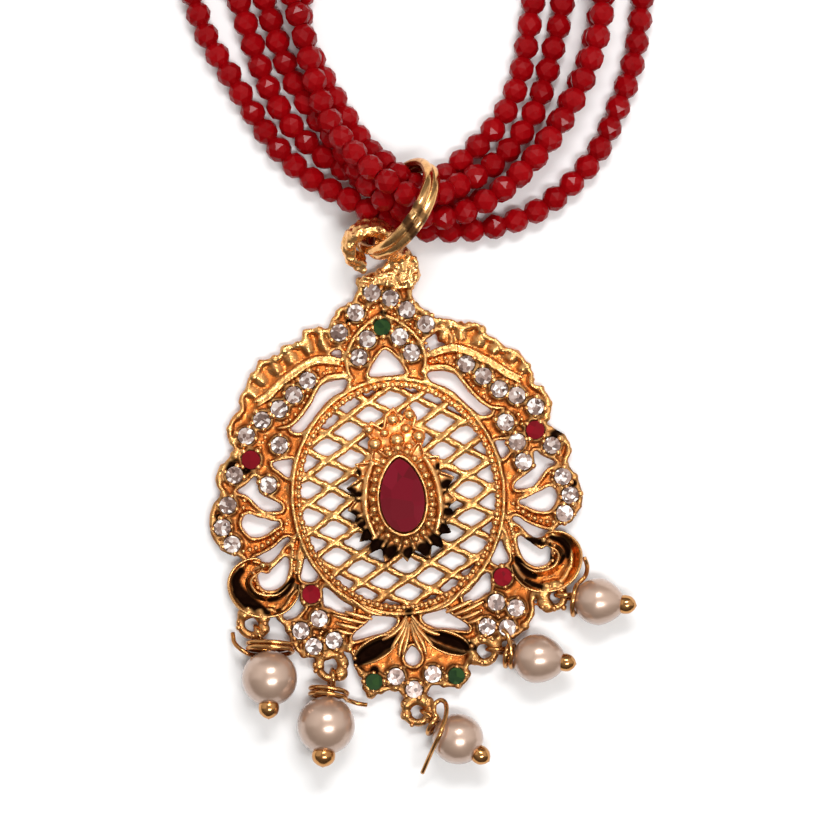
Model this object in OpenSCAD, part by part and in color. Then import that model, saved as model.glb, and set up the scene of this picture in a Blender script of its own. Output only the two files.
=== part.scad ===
// Necklace with a pierced cast pendant, five pearl drops and five strands of round beads.
// Millimetres. The pendant's upright axis is +Y, the table it lies on is z = 0.
// Positions are given from the centre of the pendant's lattice and are shifted as one at the end.

/* [Show] */

// which piece is shown

/* [Casting] */

// underside of the pierced plate above the table
plate_bottom = 0; // [0:0.1:1]
// top of the pierced plate
plate_top = 1.2; // [0.8:0.1:2]
// top of the rims, cups and veins
relief_top = 1.9; // [1.4:0.1:3]
// width of the raised border
border_width = 0.6; // [0.4:0.1:1]
// width of the raised lip round each pierced gap
lip_width = 0.45; // [0.3:0.05:0.8]
// half width of the oval lattice rim's centre line
lattice_half_width = 12.8; // [11:0.1:15]
// half height of the oval lattice rim's centre line
lattice_half_height = 14.3; // [12:0.1:17]
// width of the oval rim
lattice_rim_width = 1.3; // [0.8:0.1:2]
// distance between neighbouring lattice crossings across
lattice_step_x = 2.88; // [2:0.02:4]
// distance between neighbouring lattice crossings upwards
lattice_step_y = 1.725; // [1.2:0.005:2.5]
// width of a lattice bar
lattice_bar = 0.75; // [0.5:0.05:1.2]
// how far the lattice crossings stand right of the middle
lattice_shift = 0.3; // [-1:0.05:1]

/* [Stones] */

// radius of a white stone
white_radius = 1.1; // [0.8:0.05:1.4]
// radius of a red stone
red_radius = 1.2; // [0.9:0.05:1.5]
// radius of a green stone
green_radius = 1.1; // [0.8:0.05:1.4]
// wall of the cup round a stone
cup_wall = 0.3; // [0.2:0.05:0.5]
// room between a stone and its cup
stone_gap = 0.08; // [0.05:0.01:0.2]
// height of the pear-shaped stone's table
pear_top = 5; // [3.5:0.1:7]

/* [Drops] */

// radius of the wire
wire_radius = 0.3; // [0.2:0.01:0.45]
// room between a pearl's bore and its pin
bore_gap = 0.12; // [0.08:0.01:0.3]

/* [Ring] */

// radius of the ring's middle line
ring_radius = 6.25; // [5:0.05:9]
// radius of one rounded ridge of the band
ring_ridge = 0.62; // [0.4:0.01:0.9]
// lean of the ring's plane from the table
ring_lean = 65; // [40:1:85]

/* [Strands] */

// diameter of a strand
strand_diameter = 2.9; // [2:0.05:4]
// length of the clasp along the strands
clasp_length = 10; // [6:0.1:20]
// thickness of the clasp
clasp_thickness = 3; // [2:0.1:5]

/* [Hidden] */

// the pieces

// middle of the whole necklace, which becomes the origin
whole_centre = [8.3231, 94.3681];

// colours
gold = [0.84, 0.56, 0.22];
crimson = [0.56, 0.05, 0.09];
ruby = [0.6, 0.08, 0.2];
emerald = [0.12, 0.4, 0.2];
clear = [0.9, 0.9, 0.92];
cream = [0.87, 0.8, 0.72];

// small overlap between a layer and the one it stands on
sunk = 0.4;
// how far a layer's edge stays inside the edge of the layer below
inset = 0.06;

// outlines, columns x, y

// left edge from the tent's top down to the foot
edge_left = [
    [-2.4, 27.6], [-2.6, 26.3], [-3.2, 25.5], [-3.6, 24.6], [-5.2, 24.2], [-5.6, 23.4], [-6.4, 22.8],
    [-6.7, 21.7], [-8, 21.8], [-9.2, 21.9], [-9.9, 21.6], [-10.3, 20.5], [-11, 20.1], [-12.5, 20.1],
    [-13.4, 18.8], [-15.2, 18.5], [-16, 18.2], [-16.4, 17.2], [-17.4, 16.4], [-17.9, 15], [-18.7, 14.2],
    [-18.7, 12.6], [-19.5, 12], [-20.2, 11.2], [-20.6, 10], [-20.5, 8.8], [-19.9, 7.6], [-20.6, 6.7],
    [-21.9, 5.6], [-22.6, 4.2], [-22.3, 2.9], [-22, 2.2], [-23, 1.3], [-23.6, 0], [-23.8, -1.5],
    [-23.7, -2.7], [-23.2, -3.9], [-22.3, -4.8], [-21, -5.4], [-20, -6.3], [-20.8, -6.8], [-21.6, -7.5],
    [-22.1, -8.5], [-22.2, -9.5], [-21.9, -10.7], [-21.3, -11.7], [-20.3, -12.5], [-18.5, -13],
    [-17, -13.1], [-16.5, -14], [-15.6, -15], [-15.2, -16.3], [-14.9, -17.5], [-14, -18.6],
    [-12.7, -19.2], [-11, -19.3], [-9.4, -19], [-8, -18.6], [-7.5, -19.8], [-7.4, -21], [-6.6, -22.2],
    [-6.5, -23.4], [-5.5, -24.3], [-4, -24.2], [-2.3, -24], [-1.6, -25.2], [-0.2, -25.7]
];
// right edge from the foot up to the tent's top
edge_right = [
    [1.2, -25.2], [2, -24], [3.6, -24.2], [5.3, -24.5], [6.6, -23.7], [6.8, -22.2], [7.4, -20.8],
    [7.7, -19.6], [8.2, -18.8], [9.4, -19], [11, -19.3], [12.6, -19.1], [14, -18.3], [15.2, -17],
    [15.8, -15.8], [15.7, -14.6], [16.2, -13.3], [17.2, -13.2], [18.5, -13.1], [19.6, -12.6],
    [20.4, -11.7], [21, -10.7], [21.2, -9.5], [21.1, -8.5], [20.5, -7.5], [19.6, -6.6], [18.9, -6.2],
    [20, -5.3], [21.4, -4.9], [22.3, -4], [22.9, -2.7], [22.9, -1.2], [22.5, 0.4], [21.6, 1.9],
    [21.5, 2.5], [22, 3.4], [22, 4.6], [21.2, 5.9], [19.9, 6.9], [19.3, 7.5], [20, 8.8], [20.1, 10.2],
    [19.6, 11.3], [18.8, 12.1], [18.1, 12.5], [18.3, 13.8], [17.6, 15], [17, 16.2], [16, 17],
    [15, 17.4], [14, 18.5], [12.9, 19.1], [12, 20.6], [10.9, 20.7], [9.8, 20.5], [9, 21.3],
    [7.9, 21.6], [6.6, 21.8], [5.8, 22.5], [5, 23.3], [4.3, 24.1], [4, 25], [4.2, 26], [4.9, 27.6]
];

// gaps that both sides share, drawn on the left side and mirrored
gap_wing = [
    [-12.65, 9.6], [-11.65, 10.4], [-10.65, 11.4], [-9.65, 12.6], [-8.85, 14], [-7.95, 14.8],
    [-6.65, 15.1], [-5.35, 15.1], [-4.95, 14.7], [-5.65, 13.8], [-6.95, 13.2], [-7.95, 12.5],
    [-8.85, 11.6], [-9.85, 10.5], [-10.85, 9.4], [-11.45, 9.1], [-12.15, 9.1]
];
gap_petal = [[-15.4, 5.5], [-12.8, 5.8], [-12.9, 5.1], [-13.3, 3.7], [-13.6, 3.6], [-14.5, 4.5]];
gap_flower = [
    [-20.2, 2.4], [-19, 3], [-18.2, 3.6], [-17.7, 4.1], [-17.4, 3.9], [-17.4, 2.9], [-17.3, 2],
    [-16.2, 1.2], [-15, 0.5], [-14.6, 0], [-14.7, -0.4], [-15.5, -0.5], [-17, -0.2], [-18, 0.9], [-19, 1.9]
];
gap_crescent = [
    [-19.4, -0.7], [-18.6, -0.6], [-17.9, -1], [-17, -1.3], [-16, -1.7], [-15.1, -1.9], [-15.1, -2.3],
    [-15.8, -2.6], [-16.6, -3.1], [-17.3, -3.4], [-18, -3.5], [-18.8, -3.4], [-19.5, -2.5], [-19.8, -1.7]
];
gap_limb = [
    [-18.8, -6.1], [-18, -5.9], [-17, -5.5], [-16, -5], [-15, -4.2], [-14.4, -3.9], [-14, -4],
    [-14, -4.3], [-14.9, -5], [-15.6, -5.9], [-16.4, -6.6], [-17, -6.8], [-18, -6.5]
];
gap_scroll = [
    [-18.4, -8.6], [-18.1, -7.9], [-17.2, -8.3], [-16.4, -7.6], [-15.6, -7], [-15, -6.4], [-14.6, -6.3],
    [-14.4, -6.9], [-14.5, -8], [-15, -9.3], [-15.6, -9.9], [-16.5, -10.3], [-17.5, -10.2], [-18.1, -9.7]
];
gap_post = [
    [-12.2, -6.4], [-12.5, -7.2], [-12.8, -8.2], [-13.1, -9.2], [-12.4, -9.6], [-11.6, -9.7],
    [-10.9, -9.2], [-11, -8.8], [-11.6, -7.8], [-12, -7]
];
gap_cluster = [
    [-10.3, -10.5], [-9.6, -10.9], [-9, -11.6], [-8.2, -12.4], [-7.5, -12.9], [-7, -13.2], [-7, -13.9],
    [-7.8, -14], [-9, -13.6], [-9.8, -13.1], [-10.4, -12.9], [-10.5, -12], [-10.6, -11]
];
gap_foot = [
    [-4.6, -14.6], [-3.5, -14.8], [-2.3, -15], [-1.6, -15.3], [-1.7, -15.8], [-2.3, -16.3], [-3.2, -16.8],
    [-4.5, -17], [-6, -17.3], [-7, -17.5], [-7.4, -17.3], [-6.8, -16.5], [-5.8, -15.8], [-5, -15.2]
];
shared_gaps = [
    gap_wing, gap_petal, gap_flower, gap_crescent, gap_limb, gap_scroll, gap_post, gap_cluster, gap_foot
];
// gaps that only one side has
gap_web = [
    [-13.3, -10.7], [-14, -11.2], [-14.7, -12.2], [-15.5, -13], [-15.7, -13.6], [-15.5, -14.1],
    [-15, -14.1], [-14.1, -13.9], [-13.3, -13.2], [-12.9, -12.8], [-13.3, -12.3], [-13.5, -11.7]
];
gap_left_shoulder = [[-6.9, 18.6], [-5.6, 18.9], [-5.5, 17.8]];
gap_right_shoulder = [
    [5, 18.9], [5.9, 19.5], [6.9, 20.1], [7.6, 20], [8.2, 19.2], [8, 18.5], [6.9, 17.9], [5.9, 17.5],
    [5.3, 17.5]
];
gap_arch = [
    [0, 18.4], [-1, 17.5], [-1.7, 16.6], [-2.25, 15.5], [-2.1, 15.2], [2.1, 15.2], [2.25, 15.5],
    [1.7, 16.6], [1, 17.5]
];
gap_drop = [
    [0, -18.8], [-0.6, -19.4], [-1, -20.1], [-0.8, -20.9], [0, -21.3], [0.8, -20.9], [1, -20.1],
    [0.6, -19.4]
];

// raised lines, columns x, y along each line, drawn on the left and mirrored
line_arch = [[0, 22.9], [-1.5, 22.1], [-3, 20.9], [-4.1, 19.6], [-4.6, 18.2], [-4.85, 16.5], [-4.8, 15.2]];
line_wing_top = [
    [-5.6, 17.3], [-7.2, 17.7], [-8.7, 17.8], [-10.2, 17.3], [-11.9, 16.3], [-13.2, 15.5],
    [-14.9, 14.1], [-16.8, 13]
];
line_wing_foot = [
    [-5.2, 15.8], [-7.2, 15.7], [-8.3, 15.1], [-9.2, 13.9], [-10.2, 12.4], [-11.3, 11.1], [-12.7, 10],
    [-14.4, 9.8]
];
line_vein_1 = [[-8.6, 18.4], [-8.9, 20], [-8.8, 21.2]];
line_vein_2 = [[-11.4, 17.3], [-11.8, 18.6], [-11.9, 19.5]];
line_vein_3 = [[-14, 15.9], [-14.6, 17], [-15.1, 17.9]];
line_vein_4 = [[-16, 14.3], [-16.8, 15.2], [-17.2, 15.9]];
line_scroll = [
    [-13.5, -9.6], [-14.4, -10.9], [-15.6, -11.9], [-17, -12.2], [-18.6, -12.1], [-20, -11.5],
    [-20.9, -10.4], [-21.2, -9.2], [-20.8, -8.1], [-19.8, -7.4], [-18.6, -7.3]
];
line_fan_1 = [[-0.4, -15.5], [-1.6, -17.2], [-2.6, -18.4], [-3.6, -20.2]];
line_fan_2 = [[-0.2, -15.7], [-0.8, -17.3], [-1.5, -18.8], [-1.9, -20.4]];
line_leaf = [
    [-2.2, -17.4], [-4.5, -17.7], [-6, -18.3], [-7, -19.3], [-7, -20.6], [-5.5, -20.9], [-3.5, -20.4]
];
line_bar_1 = [[-3.4, -14.6], [-5.2, -13.9], [-7, -12.3]];
line_bar_2 = [[-5.6, -15.4], [-7.6, -14.8], [-9.4, -14.1]];
line_bar_3 = [[-7.2, -16.6], [-8.4, -16.3], [-9.2, -15.9]];
raised_lines = [
    line_arch, line_wing_top, line_wing_foot, line_vein_1, line_vein_2, line_vein_3, line_vein_4,
    line_scroll, line_fan_1, line_fan_2, line_leaf, line_bar_1, line_bar_2, line_bar_3
];
// width of a raised line
line_width = 0.45;
// lattice bars on each side of the middle one
lattice_bars_each_way = 9;

// spiky flange under the pear-shaped stone
flange = [
    [0.4, 5.8], [-0.8, 5], [-2.5, 6.5], [-3.1, 4.6], [-5, 4.5], [-4.5, 2.7], [-6.3, 1.6], [-5.2, 0.2],
    [-6.4, -1.2], [-5.3, -2], [-5.9, -3.1], [-4.6, -3.6], [-5.3, -5.2], [-3.7, -5.1], [-4.6, -7],
    [-2.6, -6.2], [-2.4, -8.1], [-0.6, -6.8], [0.4, -8.2], [1.5, -6.8], [3.3, -8.2], [3.6, -6.3],
    [5.3, -7.2], [4.7, -5.2], [6.2, -5.1], [5.5, -3.7], [7, -2.9], [6.1, -1.9], [7.3, -1], [6.1, 0.3],
    [7.2, 1.8], [5.4, 2.7], [5.6, 4.6], [3.9, 4.6], [3.3, 6.8], [1.6, 5]
];
// leafy crest above the flange
crest = [
    [-2, 5], [-3.1, 6.2], [-2.6, 7.4], [-3.6, 8.6], [-2.5, 9.4], [-1.1, 8.4], [-0.6, 10.2], [0.4, 11],
    [1.2, 9.4], [2.3, 11.2], [3, 9.6], [2.6, 8.4], [4, 7.8], [3.5, 6.4], [2.6, 5]
];
// granules round the pear-shaped stone, columns x, y
granules = [
    [-1.8, 4.3], [-3, 2.4], [-3.4, 0.6], [-3.4, -1.1], [-3.2, -2.8], [-2.4, -4.4], [-0.9, -5.3],
    [0.7, -5.6], [2.2, -5], [3.6, -3.8], [4.2, -2.2], [4.3, -0.5], [4, 1.2], [3.3, 2.8], [2.3, 4.3]
];
// size of a granule
granule_radius = 0.5;
granule_top = 3.4;

// pear outline: its centre, its reach across and upwards, and how slim its upper end is
pear_centre = [0.5, 0.1];
pear_reach = [3.05, 4.6];
pear_slim = 0.3;
pear_sides = 26;
// the collar round it, and the top of the flange that the collar stands on
collar_wall = 0.5;
collar_top = 3.7;
flange_top = 2.3;
// the pear-shaped stone: room under it, how far its foot and its table are drawn in, and its girdle's heights
pear_seat = 0.08;
pear_foot_in = 0.25;
pear_table_in = 1.1;
pear_girdle = [collar_top - 0.4, collar_top + 0.2];
pear_facet = 0.2;

// stones, columns x, y
white_tent = [[-0.96, 25.6], [1.3, 24.7], [-3.2, 23.3], [3.2, 23.1], [-5.5, 21], [5.4, 21.1]];
white_arch = [[-2.05, 19.9], [-3.3, 17.7], [2, 19.8], [3.3, 17.7]];
white_left_wing = [[-9.95, 15.4], [-11.84, 13.8], [-13.8, 12.2], [-16.1, 11]];
white_right_wing = [[9.95, 15.7], [11.95, 14], [13.8, 12.2], [15.9, 11.2]];
white_left_flower = [[-18.2, 9.2], [-14.2, 7.7], [-20.1, 4.5], [-16, 2.9]];
white_right_flower = [[18.1, 9.6], [14.2, 8], [15.4, 5.4], [19.7, 4.6], [16, 2.9]];
white_left_crescent = [[-21.3, 0.8], [-22.2, -1.9], [-21.2, -4.1]];
white_right_crescent = [[20.7, 0.6], [21.4, -1.8], [20.5, -4]];
white_lower_left = [[-11.2, -14.3], [-13.6, -15.6], [-12.2, -17.7], [-9.6, -17.2]];
white_lower_right = [[11, -14.3], [13.4, -15.2], [9.6, -17.2], [12.1, -17.6]];
white_bottom = [[-2.3, -22.4], [-0.2, -24.2], [2.3, -22.5]];
red_places = [[-17.9, 6.2], [17.8, 6.7], [-11.9, -11.2], [12.1, -11.2]];
green_places = [[-0.1, 21.2], [-5.1, -22.8], [5.2, -23]];
white_places = concat(
    white_tent, white_arch, white_left_wing, white_right_wing, white_left_flower, white_right_flower,
    white_left_crescent, white_right_crescent, white_lower_left, white_lower_right, white_bottom
);
// sides of a stone and of its cup
stone_sides = 8;
cup_sides = 14;
// heights of a stone's point, girdle and table above the plate
stone_point = 0.1;
stone_girdle = 0.55;
stone_table = 1.05;

// hanging loops and drops
// columns: x and y of the loop's centre, its outer radius, its hole's radius
loops = [
    [-19.6, -14.2, 2, 1], [-10.3, -20.4, 2, 1], [0, -26.9, 2, 1], [8.9, -20.2, 2, 1],
    [18.2, -14.3, 1.8, 0.9]
];
// underside of the hanging loops
loop_bottom = 1;
// columns: turn of the drop seen from above, distance from the loop's centre to the pearl's
// along the pin, pearl's radius, cap's radius
drops = [
    [-76.8, 7.35, 3.5, 1.15], [-99.6, 7.56, 3.65, 1.3], [-39.5, 6.3, 3.25, 1.05],
    [-12.5, 7.04, 3.2, 1], [-10.5, 6, 2.95, 1.05]
];
// columns: place of the first and last turn of wire along the pin, half width, first and last
// half height, starting angle, whole angle
turns = [
    [4.2, 2.75, 2.8, 2.25, 1.6, 180, 810],
    [4.1, 2.8, 2.3, 2.2, 1.6, 0, 630],
    [2.85, 2.75, 1.6, 1.6, 1.6, 60, 210],
    [4, 2.85, 1.55, 1.9, 1.5, 90, 540],
    [3, 2.6, 2, 1.75, 1.65, 0, 270]
];
// loose tails from the free end to the turns: columns along the pin, across it, up
tails = [
    [[0.2, -3.8, -0.3], [1.5, -4.1, -0.1], [2.9, -4, 0.3], [3.9, -3.5, 0.5]],
    [[4.4, 4.9, -0.8], [4.3, 3.8, -0.9], [4.15, 2.9, -0.6]],
    [
        [5, -6, 0], [4.95, -4.1, 1.3], [5, -2.1, 2.95], [4.9, -0.3, 3.6], [3.9, 1.8, 2.5],
        [2.9, 2.8, 1.6], [2, 2.8, 1.2], [1.7, 2, 1.3], [2.2, 1.2, 1.6]
    ],
    [[2.4, 3, 1.7], [3.1, 2.6, 1.9], [3.7, 1.4, 2.1]],
    [[3.7, 5.3, 1.2], [4, 4.2, 0.4], [3.7, 3, -0.4]]
];
// steps round one turn of wire
turn_steps = 12;
// sides of the wire
wire_sides = 8;
// radius of the eye's middle line, the angle it leaves open and how far its ends stand off sideways
eye_radius = 1.1;
eye_open = 15;
eye_start_side = 0.55;
eye_end_side = -0.15;
// share of the last turn's half height at which the wire leaves it, then its steps aside between the
// last turn, the eye and the straight pin: along, across, up
turn_leaves_low = 0.88;
rise_from_turn = [-0.08, 0.42, 0];
rise_to_eye = [0.05, 0.6, -0.5];
leave_eye = [0.12, -0.08, 0];
reach_pin = [0.42, 0, -0.04];
// end cap: columns distance beyond the pearl, share of the cap's radius
cap_profile = [[0.15, 0.3], [0.17, 0.82], [0.55, 1], [1, 0.84], [1.35, 0.4]];

// ring: its centre, the turn of its level diameter and half the distance between its ridges
ring_centre = [3.33, 35.49, 6.6];
ring_turn = 52.1;
ring_half_gap = 0.52;
// curled strap of the bail: its centre, tilt, first angle, mid radius, section and sweep
bail_centre = [-0.6, 31.3, 5.4];
bail_tip = [38, 6, 0];
bail_start = -30;
bail_radius = 2.65;
bail_thickness = 1;
bail_height = 2.4;
bail_sweep = 285;
// root of the bail on the casting, seen from above
bail_root = [
    [-2.6, 26.6], [-2.4, 27.3], [-1.5, 27.9], [0.6, 28.6], [1.5, 29.8], [2.6, 31], [3.9, 31],
    [4.6, 29.5], [5.2, 28.2], [5.3, 27.2], [4.6, 26.5], [4.1, 25.5]
];
bail_root_top = 2.2;
// web between the root and the curl: middle and size of its foot, size of its head, turn of its head
web_foot = [3.2, 29.9, 1.6];
web_foot_size = [2, 1.6, 0.8];
web_head_size = [0.86, 0.3, 2.26];
web_head_turn = -26;

// strands: route points, columns x, y, z
route_1 = [
    [2.7, 221.4, 1.5], [-12, 218.3, 1.5], [-24.7, 209.2, 1.5], [-33.9, 195.5, 1.5], [-39.2, 179.5, 1.5],
    [-41.1, 163, 1.5], [-40.3, 142, 1.5], [-37.2, 119, 1.5], [-32, 99, 1.5], [-26, 82.5, 1.5],
    [-20.8, 68, 1.5], [-18.9, 60, 1.5], [-16.3, 54.6, 1.5], [-13.8, 49.5, 1.5], [-11, 44.5, 1.5],
    [-7, 40.2, 1.7], [-3, 37.6, 3.3], [0.7, 34.9, 4.4], [4.9, 33.1, 2.2], [9.6, 32.4, 1.5],
    [14.9, 32.4, 1.5], [20.1, 33.7, 1.5], [24.9, 36.7, 1.5], [28.8, 40.6, 1.5], [31.6, 45.6, 1.5],
    [34, 50.8, 1.5], [35.6, 57, 1.5], [37.6, 67, 1.5], [42.6, 82.5, 1.5], [48.6, 99, 1.5],
    [53.8, 119, 1.5], [56.9, 142, 1.5], [57.7, 163, 1.5], [55.8, 179.5, 1.5], [50.5, 195.5, 1.5],
    [41.3, 209.2, 1.5], [28.6, 218.3, 1.5], [13.9, 221.4, 1.5]
];
route_2 = [
    [2.7, 214.5, 1.5], [-9.2, 212, 1.5], [-19.7, 204.5, 1.5], [-27.7, 192.5, 1.5], [-32.5, 178, 1.5],
    [-34.2, 162.5, 1.5], [-33.5, 142.5, 1.5], [-30.5, 120.5, 1.5], [-25.5, 101.4, 1.5], [-19.7, 85.2, 1.5],
    [-12.3, 68, 1.5], [-10.3, 60, 1.5], [-9, 54.5, 1.5], [-6.9, 49.8, 1.6], [-4.6, 46.2, 2.7],
    [-1.7, 41.8, 4.8], [0.2, 38.1, 6.9], [3.1, 35.6, 6.6], [6.2, 34.3, 5.3], [9.3, 33.9, 4.4],
    [14.4, 35.6, 4.6], [18.9, 38.7, 4.6], [22.9, 42.6, 4.6], [26.2, 47.1, 4.6], [28.9, 52.1, 4.6],
    [30.8, 57.9, 4.6], [30.7, 64.1, 4.1], [32, 72, 1.8], [36.3, 85.2, 1.5], [42.1, 101.4, 1.5],
    [47.1, 120.5, 1.5], [50.1, 142.5, 1.5], [50.8, 162.5, 1.5], [49.1, 178, 1.5], [44.3, 192.5, 1.5],
    [36.3, 204.5, 1.5], [25.8, 212, 1.5], [13.9, 214.5, 1.5]
];
route_3 = [
    [2.7, 211, 1.5], [-7.8, 208.8, 1.5], [-17.2, 202.1, 1.5], [-24.6, 191, 1.5], [-29.1, 177.3, 1.5],
    [-30.8, 162.3, 1.5], [-30.1, 142.8, 1.5], [-27.2, 121.2, 1.5], [-22.3, 102.6, 1.5], [-16.5, 86.6, 1.5],
    [-9.5, 71, 1.8], [-8.2, 65.5, 3.9], [-6.8, 60, 4.6], [-5.9, 54, 4.5], [-4.9, 48.9, 5.1],
    [-2.6, 44.2, 7.2], [1.1, 39.9, 9.3], [5, 36.5, 8.9], [7.8, 36.6, 7.6], [10.1, 37.5, 5.3],
    [14.3, 39.3, 2.7], [18.3, 42.4, 1.6], [21.7, 46.9, 1.5], [23.7, 52.1, 1.5], [25.8, 58.3, 1.5],
    [27.8, 68, 1.5], [33, 86.6, 1.5], [38.9, 102.6, 1.5], [43.8, 121.2, 1.5], [46.7, 142.8, 1.5],
    [47.4, 162.3, 1.5], [45.7, 177.3, 1.5], [41.2, 191, 1.5], [33.8, 202.1, 1.5], [24.4, 208.8, 1.5],
    [13.9, 211, 1.5]
];
route_4 = [
    [2.7, 207.6, 1.5], [-6.4, 205.7, 1.5], [-14.7, 199.8, 1.5], [-21.5, 189.5, 1.5], [-25.8, 176.5, 1.5],
    [-27.3, 162.1, 1.5], [-26.7, 143.2, 1.5], [-23.8, 122, 1.5], [-19, 103.8, 1.5], [-13.4, 88, 1.5],
    [-5.6, 71, 1.5], [-6.8, 60, 1.5], [-5, 54, 1.5], [-2.8, 49, 1.5], [-0.1, 43.7, 2],
    [2.5, 41.1, 5.2], [5, 38.3, 6], [7.1, 38, 4.1], [9.4, 39.4, 1.8], [13.4, 42.3, 1.5],
    [17.4, 46.1, 1.5], [20.1, 51.3, 1.5], [22.2, 59.2, 1.5], [24.6, 68, 1.5], [30, 88, 1.5],
    [35.6, 103.8, 1.5], [40.4, 122, 1.5], [43.3, 143.2, 1.5], [43.9, 162.1, 1.5], [42.4, 176.5, 1.5],
    [38.1, 189.5, 1.5], [31.3, 199.8, 1.5], [23, 205.7, 1.5], [13.9, 207.6, 1.5]
];
route_5 = [
    [2.7, 218, 1.5], [-10.6, 215.2, 1.5], [-22.2, 206.9, 1.5], [-30.8, 194, 1.5], [-35.9, 178.7, 1.5],
    [-37.6, 162.8, 1.5], [-36.9, 142.2, 1.5], [-33.8, 119.8, 1.5], [-28.7, 100.2, 1.5], [-22.9, 83.8, 1.5],
    [-15.6, 68, 1.5], [-13.5, 60, 1.5], [-11.7, 52.7, 1.5], [-9.3, 47.6, 1.5], [-5.7, 43.3, 1.5],
    [-1.7, 40.4, 2], [2.1, 37.7, 4.1], [6, 36, 1.7], [9.6, 35.6, 1.5], [14.3, 35.9, 1.5],
    [19, 38.8, 1.5], [22.7, 42.8, 1.5], [25.9, 47.3, 1.5], [28.6, 52.2, 1.5], [30.4, 57.5, 1.5],
    [34.4, 68.9, 1.5], [39.5, 83.8, 1.5], [45.3, 100.2, 1.5], [50.4, 119.8, 1.5], [53.5, 142.2, 1.5],
    [54.2, 162.8, 1.5], [52.5, 178.7, 1.5], [47.4, 194, 1.5], [38.8, 206.9, 1.5], [27.2, 215.2, 1.5],
    [13.9, 218, 1.5]
];
// sides of a strand and steps from one route point to the next
strand_sides = 8;
route_parts = 2;
// clasp at the back of the neck
clasp_centre = [8.3, 214.5];
clasp_width = 18;
clasp_corner = 1.5;

// functions

function unit(v) = v / norm(v);
// point i of a path, carried on past its ends
function at(p, i) =
    i < 0 ? 2 * p[0] - p[1] : i > len(p) - 1 ? 2 * p[len(p) - 1] - p[len(p) - 2] : p[i];
// point of a smooth curve through the route points, at part t of the span i
function curve(p, i, t) = 0.5 * (
    2 * at(p, i) + (at(p, i + 1) - at(p, i - 1)) * t
    + (2 * at(p, i - 1) - 5 * at(p, i) + 4 * at(p, i + 1) - at(p, i + 2)) * pow(t, 2)
    + (3 * at(p, i) - at(p, i - 1) - 3 * at(p, i + 1) + at(p, i + 2)) * pow(t, 3)
);
// the smooth curve through a path's points
function smooth(p, parts) = concat(
    [for (i = [0 : len(p) - 2], j = [0 : parts - 1]) curve(p, i, j / parts)], [p[len(p) - 1]]
);
// direction of a path at its point i
function heading(p, i) = unit(p[min(i + 1, len(p) - 1)] - p[max(i - 1, 0)]);
// sideways direction carried along the path from the first one
function square_to(v, t) = unit(v - (v * t) * t);
function sideways(p, first) = [
    for (i = 0, s = square_to(first, heading(p, 0)); i < len(p);
        i = i + 1, s = i < len(p) ? square_to(s, heading(p, i)) : s) s
];
// points of a round section across a path
function ring_points(p, i, s, r, n) = [
    for (k = [0 : n - 1])
        p[i] + r * (cos(360 * (k + 0.5) / n) * s + sin(360 * (k + 0.5) / n) * cross(heading(p, i), s))
];

// shapes

// swept round bar: r is one radius or a list with a radius for each point
module tube(p, r, n, first) {
    side = sideways(p, first);
    m = len(p);
    points = [for (i = [0 : m - 1]) each ring_points(p, i, side[i], is_list(r) ? r[i] : r, n)];
    walls = [
        for (i = [0 : m - 2], k = [0 : n - 1])
            let (a = i * n + k, b = i * n + (k + 1) % n)
            each [[a, a + n, b], [b, a + n, b + n]]
    ];
    ends = [[for (k = [0 : n - 1]) k], [for (k = [n - 1 : -1 : 0]) (m - 1) * n + k]];
    polyhedron(points = points, faces = concat(walls, ends), convexity = 6);
}

// round stone with a small foot, a girdle and a flat table
module stone(place, r) {
    foot_share = 0.42;
    table_share = 0.58;
    rings = [[r * foot_share, stone_point], [r, stone_girdle], [r * table_share, stone_table]];
    n = stone_sides;
    points = [
        for (ring = rings, k = [0 : n - 1])
            [ring[0] * cos(360 * k / n), ring[0] * sin(360 * k / n), ring[1]]
    ];
    walls = [
        for (i = [0 : len(rings) - 2], k = [0 : n - 1])
            [i * n + k, (i + 1) * n + k, (i + 1) * n + (k + 1) % n, i * n + (k + 1) % n]
    ];
    ends = [[for (k = [0 : n - 1]) k], [for (k = [n - 1 : -1 : 0]) (len(rings) - 1) * n + k]];
    translate([place[0], place[1], plate_top]) polyhedron(points = points, faces = concat(walls, ends));
}

module white_field(places) {
    color(clear) for (p = places) stone(p, white_radius);
}

// a line drawn with a width
module stroke(line, width) {
    half = width / 2;
    beside = [for (i = [0 : len(line) - 1]) let (h = heading(line, i)) half * [-h[1], h[0]]];
    polygon(concat(
        [for (i = [0 : len(line) - 1]) line[i] + beside[i]],
        [for (i = [len(line) - 1 : -1 : 0]) line[i] - beside[i]]
    ));
}

module both_sides() {
    children();
    mirror([1, 0]) children();
}

module oval(grow) {
    scale([lattice_half_width + grow, lattice_half_height + grow]) circle(r = 1, $fn = 72);
}

module gaps() {
    both_sides() for (g = shared_gaps) polygon(g);
    polygon(gap_web);
    polygon(gap_left_shoulder);
    polygon(gap_right_shoulder);
    polygon(gap_arch);
    polygon(gap_drop);
}

module silhouette() {
    polygon(concat(edge_left, edge_right));
}

module lattice_bars() {
    rise = atan2(lattice_step_y, lattice_step_x);
    reach = 2 * lattice_half_height;
    intersection() {
        oval(0);
        union() for (k = [-lattice_bars_each_way : lattice_bars_each_way], s = [-1, 1])
            translate([lattice_shift, 2 * k * lattice_step_y]) rotate(s * rise)
                square([2 * reach, lattice_bar], center = true);
    }
}

module cups(wall) {
    for (p = white_places) translate(p) circle(r = white_radius + wall, $fn = cup_sides);
    for (p = red_places) translate(p) circle(r = red_radius + wall, $fn = cup_sides);
    for (p = green_places) translate(p) circle(r = green_radius + wall, $fn = cup_sides);
}

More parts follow.
